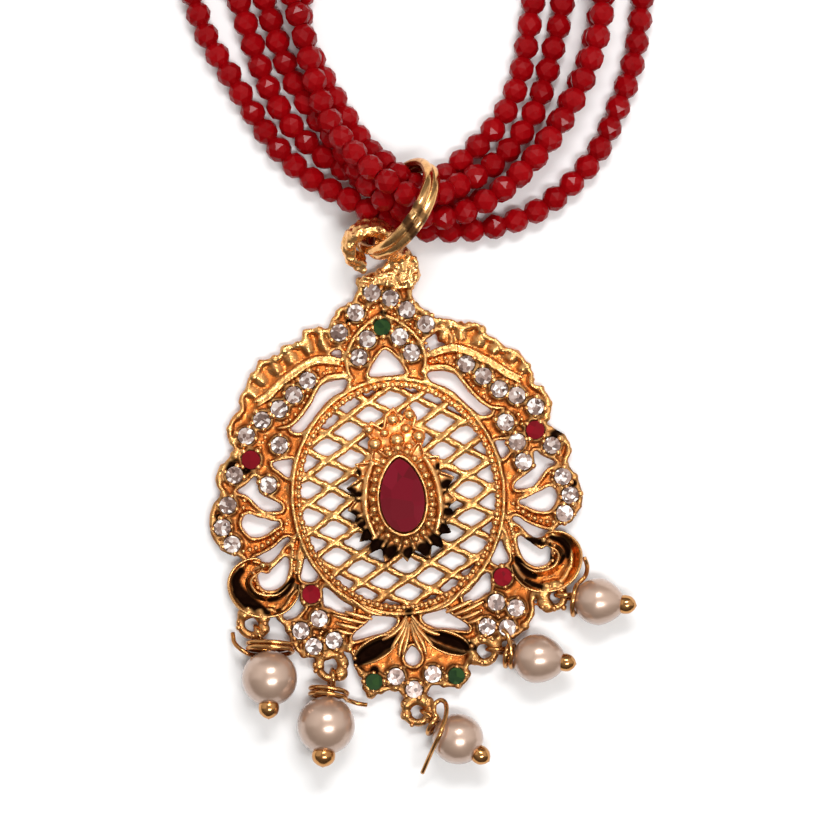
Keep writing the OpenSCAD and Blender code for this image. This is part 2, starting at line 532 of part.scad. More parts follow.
// pear outline with its round end below and its tip above
module pear(grow) {
    reach = pear_reach + [grow, 1.3 * grow];
    polygon([
        for (k = [0 : pear_sides - 1])
            let (a = 360 * k / pear_sides)
            pear_centre + [reach[0] * sin(a) * pow(sin(a / 2), pear_slim), reach[1] * cos(a)]
    ]);
}

// the pierced plate seen from above
module plate_shape() {
    difference() {
        union() {
            silhouette();
            cups(cup_wall);
        }
        oval(-lattice_rim_width / 2);
        difference() {
            gaps();
            cups(cup_wall + inset);
        }
    }
    lattice_bars();
    polygon(flange);
    polygon(crest);
}

// everything raised above the plate, seen from above
module relief_shape() {
    difference() {
        union() {
            intersection() {
                offset(delta = -inset) difference() {
                    silhouette();
                    oval(-lattice_rim_width / 2);
                    gaps();
                }
                union() {
                    difference() {
                        silhouette();
                        offset(delta = -border_width) silhouette();
                    }
                    offset(delta = lip_width) gaps();
                    both_sides() for (l = raised_lines) stroke(l, line_width);
                }
            }
            difference() {
                oval(lattice_rim_width / 2 - inset);
                oval(-lattice_rim_width / 2 + inset);
            }
            cups(cup_wall - inset);
        }
        cups(stone_gap);
    }
}

module layer(bottom, top) {
    translate([0, 0, bottom]) linear_extrude(height = top - bottom) children();
}

// turns local z onto the ring's axle, local x onto its level diameter
module on_ring() {
    translate(ring_centre) rotate([0, 0, ring_turn]) rotate([-ring_lean, 0, 0]) children();
}

module bail_curl() {
    translate(bail_centre) rotate(bail_tip) rotate([0, 0, bail_start])
        rotate_extrude(angle = bail_sweep, $fn = 64)
            translate([bail_radius - bail_thickness / 2, -bail_height / 2])
                square([bail_thickness, bail_height]);
}

// web from the flat root up to the start of the curl
module bail_rise() {
    hull() {
        translate(web_foot) cube(web_foot_size, center = true);
        translate(bail_centre) rotate(bail_tip) rotate([0, 0, web_head_turn])
            translate([bail_radius, 0, 0]) cube(web_head_size, center = true);
    }
}

module pendant_casting() {
    color(gold) {
        layer(plate_bottom, plate_top) plate_shape();
        layer(plate_top - sunk, relief_top) relief_shape();
        layer(plate_top - sunk, flange_top) offset(delta = -inset) polygon(flange);
        layer(plate_top - sunk, relief_top) offset(delta = -inset) polygon(crest);
        layer(flange_top - sunk, collar_top) difference() {
            pear(collar_wall);
            pear(stone_gap);
        }
        layer(flange_top - sunk, granule_top)
            for (g = granules) translate(g) circle(r = granule_radius, $fn = 10);
        layer(loop_bottom, relief_top) difference() {
            for (l = loops) translate([l[0], l[1]]) circle(r = l[2], $fn = 32);
            for (l = loops) translate([l[0], l[1]]) circle(r = l[3], $fn = 24);
            cups(stone_gap);
        }
        layer(plate_top - sunk, bail_root_top) difference() {
            polygon(bail_root);
            cups(stone_gap);
        }
        layer(plate_bottom + inset, plate_top) polygon(bail_root);
        bail_curl();
        bail_rise();
    }
}

module centre_ruby() {
    color(ruby) hull() {
        layer(flange_top + pear_seat, pear_girdle[0]) pear(-pear_foot_in);
        layer(pear_girdle[0], pear_girdle[1]) pear(0);
        layer(pear_top - pear_facet, pear_top) pear(-pear_table_in);
    }
}

// height of the middle of the hanging loops' band, and a drop's slope from there up to its pearl
loop_mid = (loop_bottom + relief_top) / 2;
function slope(i) = asin((drops[i][2] - loop_mid) / drops[i][1]);

module drop_frame(i) {
    translate([loops[i][0], loops[i][1], loop_mid]) rotate([0, 0, drops[i][0]]) rotate([0, -slope(i), 0])
        children();
}

module pearl(i) {
    color(cream) drop_frame(i) translate([drops[i][1], 0, 0]) rotate([0, 90, 0]) difference() {
        sphere(r = drops[i][2], $fn = 96);
        cylinder(r = wire_radius + bore_gap, h = 3 * drops[i][2], center = true, $fn = 32);
    }
}

// turns of wire round the pin
function turn_path(t) =
    let (steps = round(t[6] / 360 * turn_steps))
    [for (k = [0 : steps])
        let (part = k / steps, a = t[5] + part * t[6])
        [t[0] + part * (t[1] - t[0]), t[2] * cos(a), (t[3] + part * (t[4] - t[3])) * sin(a)]];
// the eye round the hanging loop's band
function eye_path(band, drop) =
    [for (k = [0 : turn_steps])
        let (part = k / turn_steps, a = eye_open + part * (360 - 2 * eye_open))
        [
            band + eye_radius * cos(a),
            eye_start_side + part * (eye_end_side - eye_start_side),
            eye_radius * sin(a) - drop
        ]];
function wire_path(i) =
    let (
        t = turns[i], mid = (loops[i][2] + loops[i][3]) / 2,
        band = mid * cos(slope(i)), drop = mid * sin(slope(i))
    )
    concat(
        smooth(concat(tails[i], [turn_path(t)[0]]), 2),
        [for (k = [1 : len(turn_path(t)) - 1]) turn_path(t)[k]],
        [
            [t[1], 0, 0] + rise_from_turn + [0, 0, -turn_leaves_low * t[4]],
            [band + eye_radius, 0, -drop] + rise_to_eye
        ],
        eye_path(band, drop),
        [[band + eye_radius, 0, -0.5 * drop] + leave_eye, [band + eye_radius, 0, 0] + reach_pin],
        [for (c = cap_profile) [drops[i][1] + drops[i][2] + c[0], 0, 0]]
    );
function wire_radii(i) =
    let (n = len(wire_path(i)) - len(cap_profile))
    concat(
        [for (k = [0 : n]) wire_radius],
        [for (k = [1 : len(cap_profile) - 1]) drops[i][3] * cap_profile[k][1]]
    );

module drop_wire(i) {
    color(gold) drop_frame(i) tube(wire_path(i), wire_radii(i), wire_sides, [0.3, 0.2, 1]);
}

module bail_ring() {
    color(gold) on_ring() rotate_extrude($fn = 96) {
        translate([ring_radius, ring_half_gap]) circle(r = ring_ridge, $fn = 48);
        translate([ring_radius, -ring_half_gap]) circle(r = ring_ridge, $fn = 48);
    }
}

module strand(route) {
    color(crimson) tube(smooth(route, route_parts), strand_diameter / 2, strand_sides, [0, 0, 1]);
}

module clasp() {
    color(gold) translate([clasp_centre[0], clasp_centre[1], 0]) linear_extrude(height = clasp_thickness)
        offset(r = clasp_corner, $fn = 24)
            square([clasp_length - 2 * clasp_corner, clasp_width - 2 * clasp_corner], center = true);
}

module placed() {
    translate([-whole_centre[0], -whole_centre[1], 0]) children();
}

module red_stone(i) {
    color(ruby) stone(red_places[i], red_radius);
}

module green_stone(i) {
    color(emerald) stone(green_places[i], green_radius);
}

placed() pendant_casting();
placed() centre_ruby();
placed() red_stone(0);  // red_stone_1
placed() red_stone(1);  // red_stone_2
placed() red_stone(2);  // red_stone_3
placed() red_stone(3);  // red_stone_4
placed() green_stone(0);  // green_stone_1
placed() green_stone(1);  // green_stone_2
placed() green_stone(2);  // green_stone_3
placed() white_field(white_tent);  // white_stones_tent
placed() white_field(white_arch);  // white_stones_arch
placed() white_field(white_left_wing);  // white_stones_left_wing
placed() white_field(white_right_wing);  // white_stones_right_wing
placed() white_field(white_left_flower);  // white_stones_left_flower
placed() white_field(white_right_flower);  // white_stones_right_flower
placed() white_field(white_left_crescent);  // white_stones_left_crescent
placed() white_field(white_right_crescent);  // white_stones_right_crescent
placed() white_field(white_lower_left);  // white_stones_lower_left
placed() white_field(white_lower_right);  // white_stones_lower_right
placed() white_field(white_bottom);  // white_stones_bottom
placed() pearl(0);  // pearl_1
placed() pearl(1);  // pearl_2
placed() pearl(2);  // pearl_3
placed() pearl(3);  // pearl_4
placed() pearl(4);  // pearl_5
placed() drop_wire(0);  // drop_wire_1
placed() drop_wire(1);  // drop_wire_2
placed() drop_wire(2);  // drop_wire_3
placed() drop_wire(3);  // drop_wire_4
placed() drop_wire(4);  // drop_wire_5
placed() bail_ring();
placed() strand(route_1);  // strand_1
placed() strand(route_2);  // strand_2
placed() strand(route_3);  // strand_3
placed() strand(route_4);  // strand_4
placed() strand(route_5);  // strand_5
placed() clasp();
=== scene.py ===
"""Looks of a mangalsutra: five strings of cut crimson beads, a ring and a pierced cast pendant with drops.

Sizes are millimetres in the pendant's own frame, x to the right, y up the pendant and z up from the table.
Each piece is moved to the whole necklace's frame, in metres, when it is finished.
"""
import logging
import math
import random
from collections.abc import Iterable, Sequence
from dataclasses import dataclass, field
from enum import Enum

import bmesh
import bpy
from mathutils import Matrix, Vector, noise


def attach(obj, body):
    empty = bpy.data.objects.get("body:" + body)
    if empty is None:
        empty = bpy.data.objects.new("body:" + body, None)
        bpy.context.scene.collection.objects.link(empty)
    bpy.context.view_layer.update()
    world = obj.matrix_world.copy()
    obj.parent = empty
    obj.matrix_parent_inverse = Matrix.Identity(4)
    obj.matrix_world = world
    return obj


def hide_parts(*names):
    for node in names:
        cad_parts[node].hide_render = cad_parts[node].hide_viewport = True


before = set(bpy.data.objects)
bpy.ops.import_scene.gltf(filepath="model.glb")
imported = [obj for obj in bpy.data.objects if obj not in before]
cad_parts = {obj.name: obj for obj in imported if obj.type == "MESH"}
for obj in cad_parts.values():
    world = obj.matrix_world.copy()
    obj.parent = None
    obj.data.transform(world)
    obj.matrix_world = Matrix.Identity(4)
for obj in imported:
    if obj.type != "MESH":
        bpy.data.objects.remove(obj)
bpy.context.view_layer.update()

log = logging.getLogger("necklace")

MM = 0.001
WHOLE_CENTRE = (8.3231, 94.3681)
Point = tuple[float, ...]
Path = Sequence[Point]
Colour = tuple[float, float, float]
Socket = bpy.types.NodeSocket
Inputs = dict[str | int, object]
Material = bpy.types.Material


class Slot(Enum):
    """The record's material slots."""

    GOLD = "gold"
    BEAD = "bead_red"
    RUBY = "ruby"
    GREEN = "green_stone"
    CLEAR = "clear_stone"
    PEARL = "pearl"


# outlines of the casting

EDGE_LEFT = (
    (-2.4, 27.6), (-2.6, 26.3), (-3.2, 25.5), (-3.6, 24.6), (-5.2, 24.2), (-5.6, 23.4), (-6.4, 22.8),
    (-6.7, 21.7), (-8, 21.8), (-9.2, 21.9), (-9.9, 21.6), (-10.3, 20.5), (-11, 20.1), (-12.5, 20.1),
    (-13.4, 18.8), (-15.2, 18.5), (-16, 18.2), (-16.4, 17.2), (-17.4, 16.4), (-17.9, 15), (-18.7, 14.2),
    (-18.7, 12.6), (-19.5, 12), (-20.2, 11.2), (-20.6, 10), (-20.5, 8.8), (-19.9, 7.6), (-20.6, 6.7),
    (-21.9, 5.6), (-22.6, 4.2), (-22.3, 2.9), (-22, 2.2), (-23, 1.3), (-23.6, 0), (-23.8, -1.5),
    (-23.7, -2.7), (-23.2, -3.9), (-22.3, -4.8), (-21, -5.4), (-20, -6.3), (-20.8, -6.8), (-21.6, -7.5),
    (-22.1, -8.5), (-22.2, -9.5), (-21.9, -10.7), (-21.3, -11.7), (-20.3, -12.5), (-18.5, -13),
    (-17, -13.1), (-16.5, -14), (-15.6, -15), (-15.2, -16.3), (-14.9, -17.5), (-14, -18.6),
    (-12.7, -19.2), (-11, -19.3), (-9.4, -19), (-8, -18.6), (-7.5, -19.8), (-7.4, -21), (-6.6, -22.2),
    (-6.5, -23.4), (-5.5, -24.3), (-4, -24.2), (-2.3, -24), (-1.6, -25.2), (-0.2, -25.7),
)
EDGE_RIGHT = (
    (1.2, -25.2), (2, -24), (3.6, -24.2), (5.3, -24.5), (6.6, -23.7), (6.8, -22.2), (7.4, -20.8),
    (7.7, -19.6), (8.2, -18.8), (9.4, -19), (11, -19.3), (12.6, -19.1), (14, -18.3), (15.2, -17),
    (15.8, -15.8), (15.7, -14.6), (16.2, -13.3), (17.2, -13.2), (18.5, -13.1), (19.6, -12.6),
    (20.4, -11.7), (21, -10.7), (21.2, -9.5), (21.1, -8.5), (20.5, -7.5), (19.6, -6.6), (18.9, -6.2),
    (20, -5.3), (21.4, -4.9), (22.3, -4), (22.9, -2.7), (22.9, -1.2), (22.5, 0.4), (21.6, 1.9),
    (21.5, 2.5), (22, 3.4), (22, 4.6), (21.2, 5.9), (19.9, 6.9), (19.3, 7.5), (20, 8.8), (20.1, 10.2),
    (19.6, 11.3), (18.8, 12.1), (18.1, 12.5), (18.3, 13.8), (17.6, 15), (17, 16.2), (16, 17),
    (15, 17.4), (14, 18.5), (12.9, 19.1), (12, 20.6), (10.9, 20.7), (9.8, 20.5), (9, 21.3),
    (7.9, 21.6), (6.6, 21.8), (5.8, 22.5), (5, 23.3), (4.3, 24.1), (4, 25), (4.2, 26), (4.9, 27.6),
)
SHARED_GAPS = (
    ((-12.65, 9.6), (-11.65, 10.4), (-10.65, 11.4), (-9.65, 12.6), (-8.85, 14), (-7.95, 14.8), (-6.65, 15.1),
     (-5.35, 15.1), (-4.95, 14.7), (-5.65, 13.8), (-6.95, 13.2), (-7.95, 12.5), (-8.85, 11.6), (-9.85, 10.5),
     (-10.85, 9.4), (-11.45, 9.1), (-12.15, 9.1)),
    ((-15.4, 5.5), (-12.8, 5.8), (-12.9, 5.1), (-13.3, 3.7), (-13.6, 3.6), (-14.5, 4.5)),
    ((-20.2, 2.4), (-19, 3), (-18.2, 3.6), (-17.7, 4.1), (-17.4, 3.9), (-17.4, 2.9), (-17.3, 2),
     (-16.2, 1.2), (-15, 0.5), (-14.6, 0), (-14.7, -0.4), (-15.5, -0.5), (-17, -0.2), (-18, 0.9),
     (-19, 1.9)),
    ((-19.4, -0.7), (-18.6, -0.6), (-17.9, -1), (-17, -1.3), (-16, -1.7), (-15.1, -1.9), (-15.1, -2.3),
     (-15.8, -2.6), (-16.6, -3.1), (-17.3, -3.4), (-18, -3.5), (-18.8, -3.4), (-19.5, -2.5), (-19.8, -1.7)),
    ((-18.8, -6.1), (-18, -5.9), (-17, -5.5), (-16, -5), (-15, -4.2), (-14.4, -3.9), (-14, -4), (-14, -4.3),
     (-14.9, -5), (-15.6, -5.9), (-16.4, -6.6), (-17, -6.8), (-18, -6.5)),
    ((-18.4, -8.6), (-18.1, -7.9), (-17.2, -8.3), (-16.4, -7.6), (-15.6, -7), (-15, -6.4), (-14.6, -6.3),
     (-14.4, -6.9), (-14.5, -8), (-15, -9.3), (-15.6, -9.9), (-16.5, -10.3), (-17.5, -10.2), (-18.1, -9.7)),
    ((-12.2, -6.4), (-12.5, -7.2), (-12.8, -8.2), (-13.1, -9.2), (-12.4, -9.6), (-11.6, -9.7), (-10.9, -9.2),
     (-11, -8.8), (-11.6, -7.8), (-12, -7)),
    ((-10.3, -10.5), (-9.6, -10.9), (-9, -11.6), (-8.2, -12.4), (-7.5, -12.9), (-7, -13.2), (-7, -13.9),
     (-7.8, -14), (-9, -13.6), (-9.8, -13.1), (-10.4, -12.9), (-10.5, -12), (-10.6, -11)),
    ((-4.6, -14.6), (-3.5, -14.8), (-2.3, -15), (-1.6, -15.3), (-1.7, -15.8), (-2.3, -16.3), (-3.2, -16.8),
     (-4.5, -17), (-6, -17.3), (-7, -17.5), (-7.4, -17.3), (-6.8, -16.5), (-5.8, -15.8), (-5, -15.2)),
)
SINGLE_GAPS = (
    ((-13.3, -10.7), (-14, -11.2), (-14.7, -12.2), (-15.5, -13), (-15.7, -13.6), (-15.5, -14.1),
     (-15, -14.1), (-14.1, -13.9), (-13.3, -13.2), (-12.9, -12.8), (-13.3, -12.3), (-13.5, -11.7)),
    ((-6.9, 18.6), (-5.6, 18.9), (-5.5, 17.8)),
    ((5, 18.9), (5.9, 19.5), (6.9, 20.1), (7.6, 20), (8.2, 19.2), (8, 18.5), (6.9, 17.9), (5.9, 17.5),
     (5.3, 17.5)),
    ((0, 18.4), (-1, 17.5), (-1.7, 16.6), (-2.25, 15.5), (-2.1, 15.2), (2.1, 15.2), (2.25, 15.5),
     (1.7, 16.6), (1, 17.5)),
    ((0, -18.8), (-0.6, -19.4), (-1, -20.1), (-0.8, -20.9), (0, -21.3), (0.8, -20.9), (1, -20.1),
     (0.6, -19.4)),
)

# stones, columns x, y

WHITE_STONES = {
    "tent": ((-0.96, 25.6), (1.3, 24.7), (-3.2, 23.3), (3.2, 23.1), (-5.5, 21), (5.4, 21.1)),
    "arch": ((-2.05, 19.9), (-3.3, 17.7), (2, 19.8), (3.3, 17.7)),
    "left_wing": ((-9.95, 15.4), (-11.84, 13.8), (-13.8, 12.2), (-16.1, 11)),
    "right_wing": ((9.95, 15.7), (11.95, 14), (13.8, 12.2), (15.9, 11.2)),
    "left_flower": ((-18.2, 9.2), (-14.2, 7.7), (-20.1, 4.5), (-16, 2.9)),
    "right_flower": ((18.1, 9.6), (14.2, 8), (15.4, 5.4), (19.7, 4.6), (16, 2.9)),
    "left_crescent": ((-21.3, 0.8), (-22.2, -1.9), (-21.2, -4.1)),
    "right_crescent": ((20.7, 0.6), (21.4, -1.8), (20.5, -4)),
    "lower_left": ((-11.2, -14.3), (-13.6, -15.6), (-12.2, -17.7), (-9.6, -17.2)),
    "lower_right": ((11, -14.3), (13.4, -15.2), (9.6, -17.2), (12.1, -17.6)),
    "bottom": ((-2.3, -22.4), (-0.2, -24.2), (2.3, -22.5)),
}
RED_STONES = ((-17.9, 6.2), (17.8, 6.7), (-11.9, -11.2), (12.1, -11.2))
GREEN_STONES = ((-0.1, 21.2), (-5.1, -22.8), (5.2, -23))
WHITE_RADIUS, RED_RADIUS, GREEN_RADIUS = 1.1, 1.2, 1.1
PLATE_TOP = 1.2

# hanging loops, columns x, y, outer radius, hole radius

LOOPS = (
    (-19.6, -14.2, 2, 1), (-10.3, -20.4, 2, 1), (0, -26.9, 2, 1), (8.9, -20.2, 2, 1),
    (18.2, -14.3, 1.8, 0.9))


# paths


def mirrored(points: Path) -> list[Point]:
    """The same path on the other side of the pendant, run the same way round."""
    return [(-p[0], *p[1:]) for p in reversed(points)]


def smooth(points: Path, parts: int = 3, closed: bool = False) -> list[Point]:
    """Runs one smooth curve through the points.

    Args:
        points: the points it passes, of two or three numbers.
        parts: steps between neighbouring points.
        closed: whether it comes back to its start.

    Returns:
        The curve's points.
    """
    n = len(points)
    size = len(points[0])

    def near(i: int) -> Point:
        """One of the points.

        Args:
            i: a number, also one past either end.

        Returns:
            The point, or one laid on past the end.
        """
        if closed:
            return points[i % n]
        if i < 0:
            return tuple(2 * a - b for a, b in zip(points[0], points[1]))
        if i >= n:
            return tuple(2 * a - b for a, b in zip(points[-1], points[-2]))
        return points[i]

    out: list[Point] = []
    for i in range(n if closed else n - 1):
        a, b, c, d = near(i - 1), near(i), near(i + 1), near(i + 2)
        for j in range(parts):
            t = j / parts
            out.append(tuple(
                0.5 * (2 * b[k] + (c[k] - a[k]) * t + (2 * a[k] - 5 * b[k] + 4 * c[k] - d[k]) * t * t
                       + (3 * b[k] - a[k] - 3 * c[k] + d[k]) * t ** 3)
                for k in range(size)))
    if not closed:
        out.append(tuple(points[-1]))
    return out


def beside(points: Path, distance: float, closed: bool = False) -> list[Point]:
    """A flat path moved sideways, to its left where the distance is positive.

    Args:
        points: the path.
        distance: how far it is moved.
        closed: whether it comes back to its start.

    Returns:
        The moved path.
    """
    n = len(points)
    out: list[Point] = []
    for i, p in enumerate(points):
        before = points[(i - 1) % n] if closed else points[max(i - 1, 0)]
        after = points[(i + 1) % n] if closed else points[min(i + 1, n - 1)]
        dx, dy = after[0] - before[0], after[1] - before[1]
        size = math.hypot(dx, dy) or 1.0
        out.append((p[0] - distance * dy / size, p[1] + distance * dx / size))
    return out


def turns_left(points: Path) -> bool:
    """Whether a closed flat path runs anticlockwise."""
    return sum(a[0] * b[1] - b[0] * a[1] for a, b in zip(points, [*points[1:], points[0]])) > 0


def spaced(points: Path, pitch: float, closed: bool = False) -> list[Vector]:
    """Points at even steps of about the pitch along a path of straight pieces.

    Args:
        points: the path.
        pitch: the distance between steps.
        closed: whether it comes back to its start.

    Returns:
        The places, in order.
    """
    path = [Vector((*p, 0.0)[:3]) for p in points]
    if closed:
        path.append(path[0].copy())
    reach = [0.0]
    for a, b in zip(path, path[1:]):
        reach.append(reach[-1] + (b - a).length)
    count = max(2, round(reach[-1] / pitch))
    out: list[Vector] = []
    i = 0
    for k in range(count if closed else count + 1):
        want = reach[-1] * k / count
        while i < len(path) - 2 and reach[i + 1] < want:
            i += 1
        part = (want - reach[i]) / ((reach[i + 1] - reach[i]) or 1.0)
        out.append(path[i].lerp(path[i + 1], part))
    return out


def oval(half_width: float, half_height: float, count: int = 96) -> list[Point]:
    """An oval round the lattice's middle."""
    return [(half_width * math.cos(math.tau * k / count), half_height * math.sin(math.tau * k / count))
            for k in range(count)]


def polar(x: float, y: float, away: float, angle: float, *height: float) -> Point:
    """The place at a distance and an angle from x, y, with its height where one is given."""
    return (x + away * math.cos(angle), y + away * math.sin(angle), *height)


def circle(x: float, y: float, radius: float, count: int) -> list[Point]:
    """A circle round x, y."""
    return [polar(x, y, radius, math.tau * k / count) for k in range(count)]


def grown(points: Path, distance: float) -> list[Point]:
    """A closed flat path moved outwards all round, or inwards where the distance is negative."""
    return beside(points, -distance if turns_left(points) else distance, closed=True)


def turned(angle: float, axis: str) -> Matrix:
    """A turn about an axis, in degrees."""
    return Matrix.Rotation(math.radians(angle), 4, axis)


# the bench: one mesh in the making

SMOOTHINGS = 2
NEAR = 3.0


def staged(name: str, data: bpy.types.ID) -> bpy.types.Object:
    """Makes an object and puts it into the scene.

    Args:
        name: its name.
        data: its mesh, curve, light or camera.

    Returns:
        The object.
    """
    obj = bpy.data.objects.new(name, data)
    bpy.context.scene.collection.objects.link(obj)
    return obj


def verts_of(geometry: Iterable[object]) -> list[bmesh.types.BMVert]:
    """The vertices among what a bmesh operator made."""
    return [g for g in geometry if isinstance(g, bmesh.types.BMVert)]


def drill(bm: bmesh.types.BMesh, radius: float, bore: float, reach: float | None = None) -> None:
    """Drills a round ball through along z.

    Args:
        bm: the ball.
        radius: its radius.
        bore: the hole's radius.
        reach: how far the hole's rims lie from the middle, where they don't stay as they are.
    """
    bmesh.ops.delete(bm, geom=[v for v in bm.verts if abs(v.co.z) > 0.9999 * radius], context="VERTS")
    for v in verts_of(bmesh.ops.extrude_edge_only(bm, edges=[e for e in bm.edges if e.is_boundary])["geom"]):
        share = bore / math.hypot(v.co.x, v.co.y)
        v.co = Vector((v.co.x * share, v.co.y * share, math.copysign(reach, v.co.z) if reach else v.co.z))
    bmesh.ops.bridge_loops(bm, edges=[e for e in bm.edges if e.is_boundary])


@dataclass(frozen=True)
class Line:
    """How raised lines are drawn.

    Attributes:
        radius: their radius.
        height: the height of their middle.
        ends: the radius at both ends as a share of the full one.
    """

    radius: float
    height: float
    ends: float = 1.0


@dataclass(frozen=True)
class Rail:
    """A raised round line.

    Attributes:
        points: its path, of two numbers or three.
        radius: its radius.
        height: how high its middle lies where the path is flat.
        closed: whether it comes back to its start.
        ends: its radius at both ends as a share of the full one.
    """

    points: Path
    radius: float
    height: float = 0.0
    closed: bool = False
    ends: float = 1.0


@dataclass
class Blank:
    """A piece in the making: a bmesh in millimetres and what is done to it on the bench."""

    bm: bmesh.types.BMesh = field(default_factory=bmesh.new)

    def take(self, obj: bpy.types.Object) -> None:
        """Adds an object's evaluated mesh and removes the object.

        Args:
            obj: the object, which isn't in the scene yet.
        """
        bpy.context.scene.collection.objects.link(obj)
        mesh = bpy.data.meshes.new_from_object(obj.evaluated_get(bpy.context.evaluated_depsgraph_get()))
        self.bm.from_mesh(mesh)
        bpy.data.meshes.remove(mesh)
        bpy.data.objects.remove(obj)

    def add_rails(self, rails: Iterable[Rail], roundness: int = 2, profile: Path = ()) -> None:
        """Sweeps round lines, or channels of a given profile.

        Args:
            rails: the lines.
            roundness: steps of a quarter of the round section.
            profile: the section to sweep instead of a circle, for a radius of one.
        """
        groups: dict[float, list[Rail]] = {}
        for rail in rails:
            groups.setdefault(rail.radius, []).append(rail)
        section = make_profile(profile) if profile else None
        for radius, group in groups.items():
            curve = bpy.data.curves.new("rails", "CURVE")
            curve.dimensions = "3D"
            curve.use_fill_caps = True
            if section:
                curve.bevel_mode = "OBJECT"
                curve.bevel_object = section
                curve.twist_mode = "Z_UP"
            else:
                curve.bevel_depth = radius
                curve.bevel_resolution = roundness
            for rail in group:
                spline = curve.splines.new("POLY")
                count = len(rail.points)
                spline.points.add(count - 1)
                spline.use_cyclic_u = rail.closed
                for i, p in enumerate(rail.points):
                    share = 1.0 if rail.closed else math.sqrt(max(0.0, math.sin(math.pi * i / (count - 1))))
                    scale = radius if section else 1.0
                    spline.points[i].co = (p[0], p[1], p[2] if len(p) > 2 else rail.height, 1.0)
                    spline.points[i].radius = (rail.ends + (1 - rail.ends) * share) * scale
            self.take(bpy.data.objects.new("rails", curve))
        if section:
            bpy.data.objects.remove(section)

    def add_lines(self, paths: Iterable[Path], line: Line, closed: bool = False) -> None:
        """Adds raised lines of one kind along flat paths."""
        self.add_rails([Rail(path, line.radius, line.height, closed, line.ends) for path in paths])

    def add_plate(self, outline: Path, bottom: float, top: float, edge: float,
                  holes: Iterable[Path] = ()) -> None:
        """Adds a flat plate with rounded edges and pierced holes.

        Args:
            outline: its outer edge.
            bottom: height of its underside.
            top: height of its top.
            edge: radius of its rounded edges.
            holes: the edges of its holes, none of which meet.
        """
        curve = bpy.data.curves.new("plate", "CURVE")
        curve.dimensions = "2D"
        curve.fill_mode = "BOTH"
        curve.extrude = (top - bottom) / 2 - edge
        curve.bevel_depth = edge
        curve.bevel_resolution = 2
        curve.offset = -edge
        for path, left in [(outline, True), *((hole, False) for hole in holes)]:
            ordered = list(path) if turns_left(path) == left else list(reversed(path))
            spline = curve.splines.new("POLY")
            spline.points.add(len(ordered) - 1)
            spline.use_cyclic_u = True
            for point, p in zip(spline.points, ordered):
                point.co = (p[0], p[1], 0.0, 1.0)
        obj = bpy.data.objects.new("plate", curve)
        obj.location = (0.0, 0.0, (top + bottom) / 2)
        before = len(self.bm.verts)
        self.take(obj)
        self.bm.verts.ensure_lookup_table()
        bmesh.ops.translate(self.bm, vec=(0.0, 0.0, (top + bottom) / 2), verts=self.bm.verts[before:])

    def add_ball(self, place: Point, radius: float, flat: float = 1.0, detail: int = 2) -> None:
        """Adds a granule, pressed flat to a share of its height."""
        shape = Matrix.Translation(place) @ Matrix.Diagonal((1.0, 1.0, flat, 1.0))
        bmesh.ops.create_icosphere(self.bm, subdivisions=detail, radius=radius, matrix=shape)

    def add_spin(self, profile: Path, place: Matrix, steps: int, angle: float = math.tau) -> None:
        """Turns a closed section about the local z axis.

        Args:
            profile: its points, as distance from the axis and height.
            place: where the axis goes.
            steps: how many steps the turn has.
            angle: how far it turns.
        """
        verts = [self.bm.verts.new((r, 0.0, z)) for r, z in profile]
        face = self.bm.faces.new(verts)
        full = abs(angle - math.tau) < 1e-6
        parts = bmesh.ops.spin(self.bm, geom=[*face.edges] if full else [face], cent=(0, 0, 0),
                               axis=(0, 0, 1), angle=angle, steps=steps, use_merge=full)
        seen = {*verts, *verts_of(parts["geom_last"])}
        todo = list(seen)
        while todo:
            for edge in todo.pop().link_edges:
                for v in edge.verts:
                    if v not in seen:
                        seen.add(v)
                        todo.append(v)
        if full:
            bmesh.ops.delete(self.bm, geom=[face], context="FACES_ONLY")
        bmesh.ops.transform(self.bm, matrix=place, verts=[v for v in seen if v.is_valid])

    def fuse(self, voxel: float, lump: float, lump_size: float) -> None:
        """Melts the overlapping shapes into one cast skin.

        Args:
            voxel: size of the skin's cells.
            lump: height of the casting's lumps.
            lump_size: distance from one lump to the next.
        """
        mesh = bpy.data.meshes.new("work")
        self.bm.to_mesh(mesh)
        obj = bpy.data.objects.new("work", mesh)
        skin = obj.modifiers.new("skin", "REMESH")
        skin.mode = "VOXEL"
        skin.voxel_size = voxel
        self.bm.clear()
        self.take(obj)
        for _ in range(SMOOTHINGS):
            bmesh.ops.smooth_vert(self.bm, verts=self.bm.verts, factor=0.5, use_axis_x=True, use_axis_y=True,
                                  use_axis_z=True)
        self.bm.normal_update()
        shifts = [v.normal * lump * noise.noise(v.co / lump_size) for v in self.bm.verts]
        for v, shift in zip(self.bm.verts, shifts):
            v.co += shift

    def darken(self, places: Iterable[Point], top: float, strength: float = 1.0) -> None:
        """Marks painted shade and painted dark reflections in the attribute that the gold's finish reads.

        Args:
            places: x, y and reach of each.
            top: the height above which nothing is dark.
            strength: how dark they are at most.
        """
        layer = self.bm.verts.layers.float.get("hollow") or self.bm.verts.layers.float.new("hollow")
        near: dict[tuple[int, int], list[Point]] = {}
        for x, y, reach in places:
            for dx in (-1, 0, 1):
                for dy in (-1, 0, 1):
                    near.setdefault((round(x / NEAR) + dx, round(y / NEAR) + dy), []).append((x, y, reach))
        for v in self.bm.verts:
            spots = near.get((round(v.co.x / NEAR), round(v.co.y / NEAR)))
            if not spots or v.co.z > top:
                continue
            ragged = 0.14 * noise.noise(v.co * 1.1)
            away = min(math.hypot(v.co.x - x, v.co.y - y) / reach for x, y, reach in spots) + ragged
            fade = min(1.0, (top - v.co.z) / 0.25)
            v[layer] = max(v[layer], strength * fade * min(1.0, max(0.0, 2.5 * (1.0 - away))))

    def keep_above(self, floor: float) -> None:
        """Presses what lies under the table up to its top."""
        for v in self.bm.verts:
            v.co.z = max(v.co.z, floor)

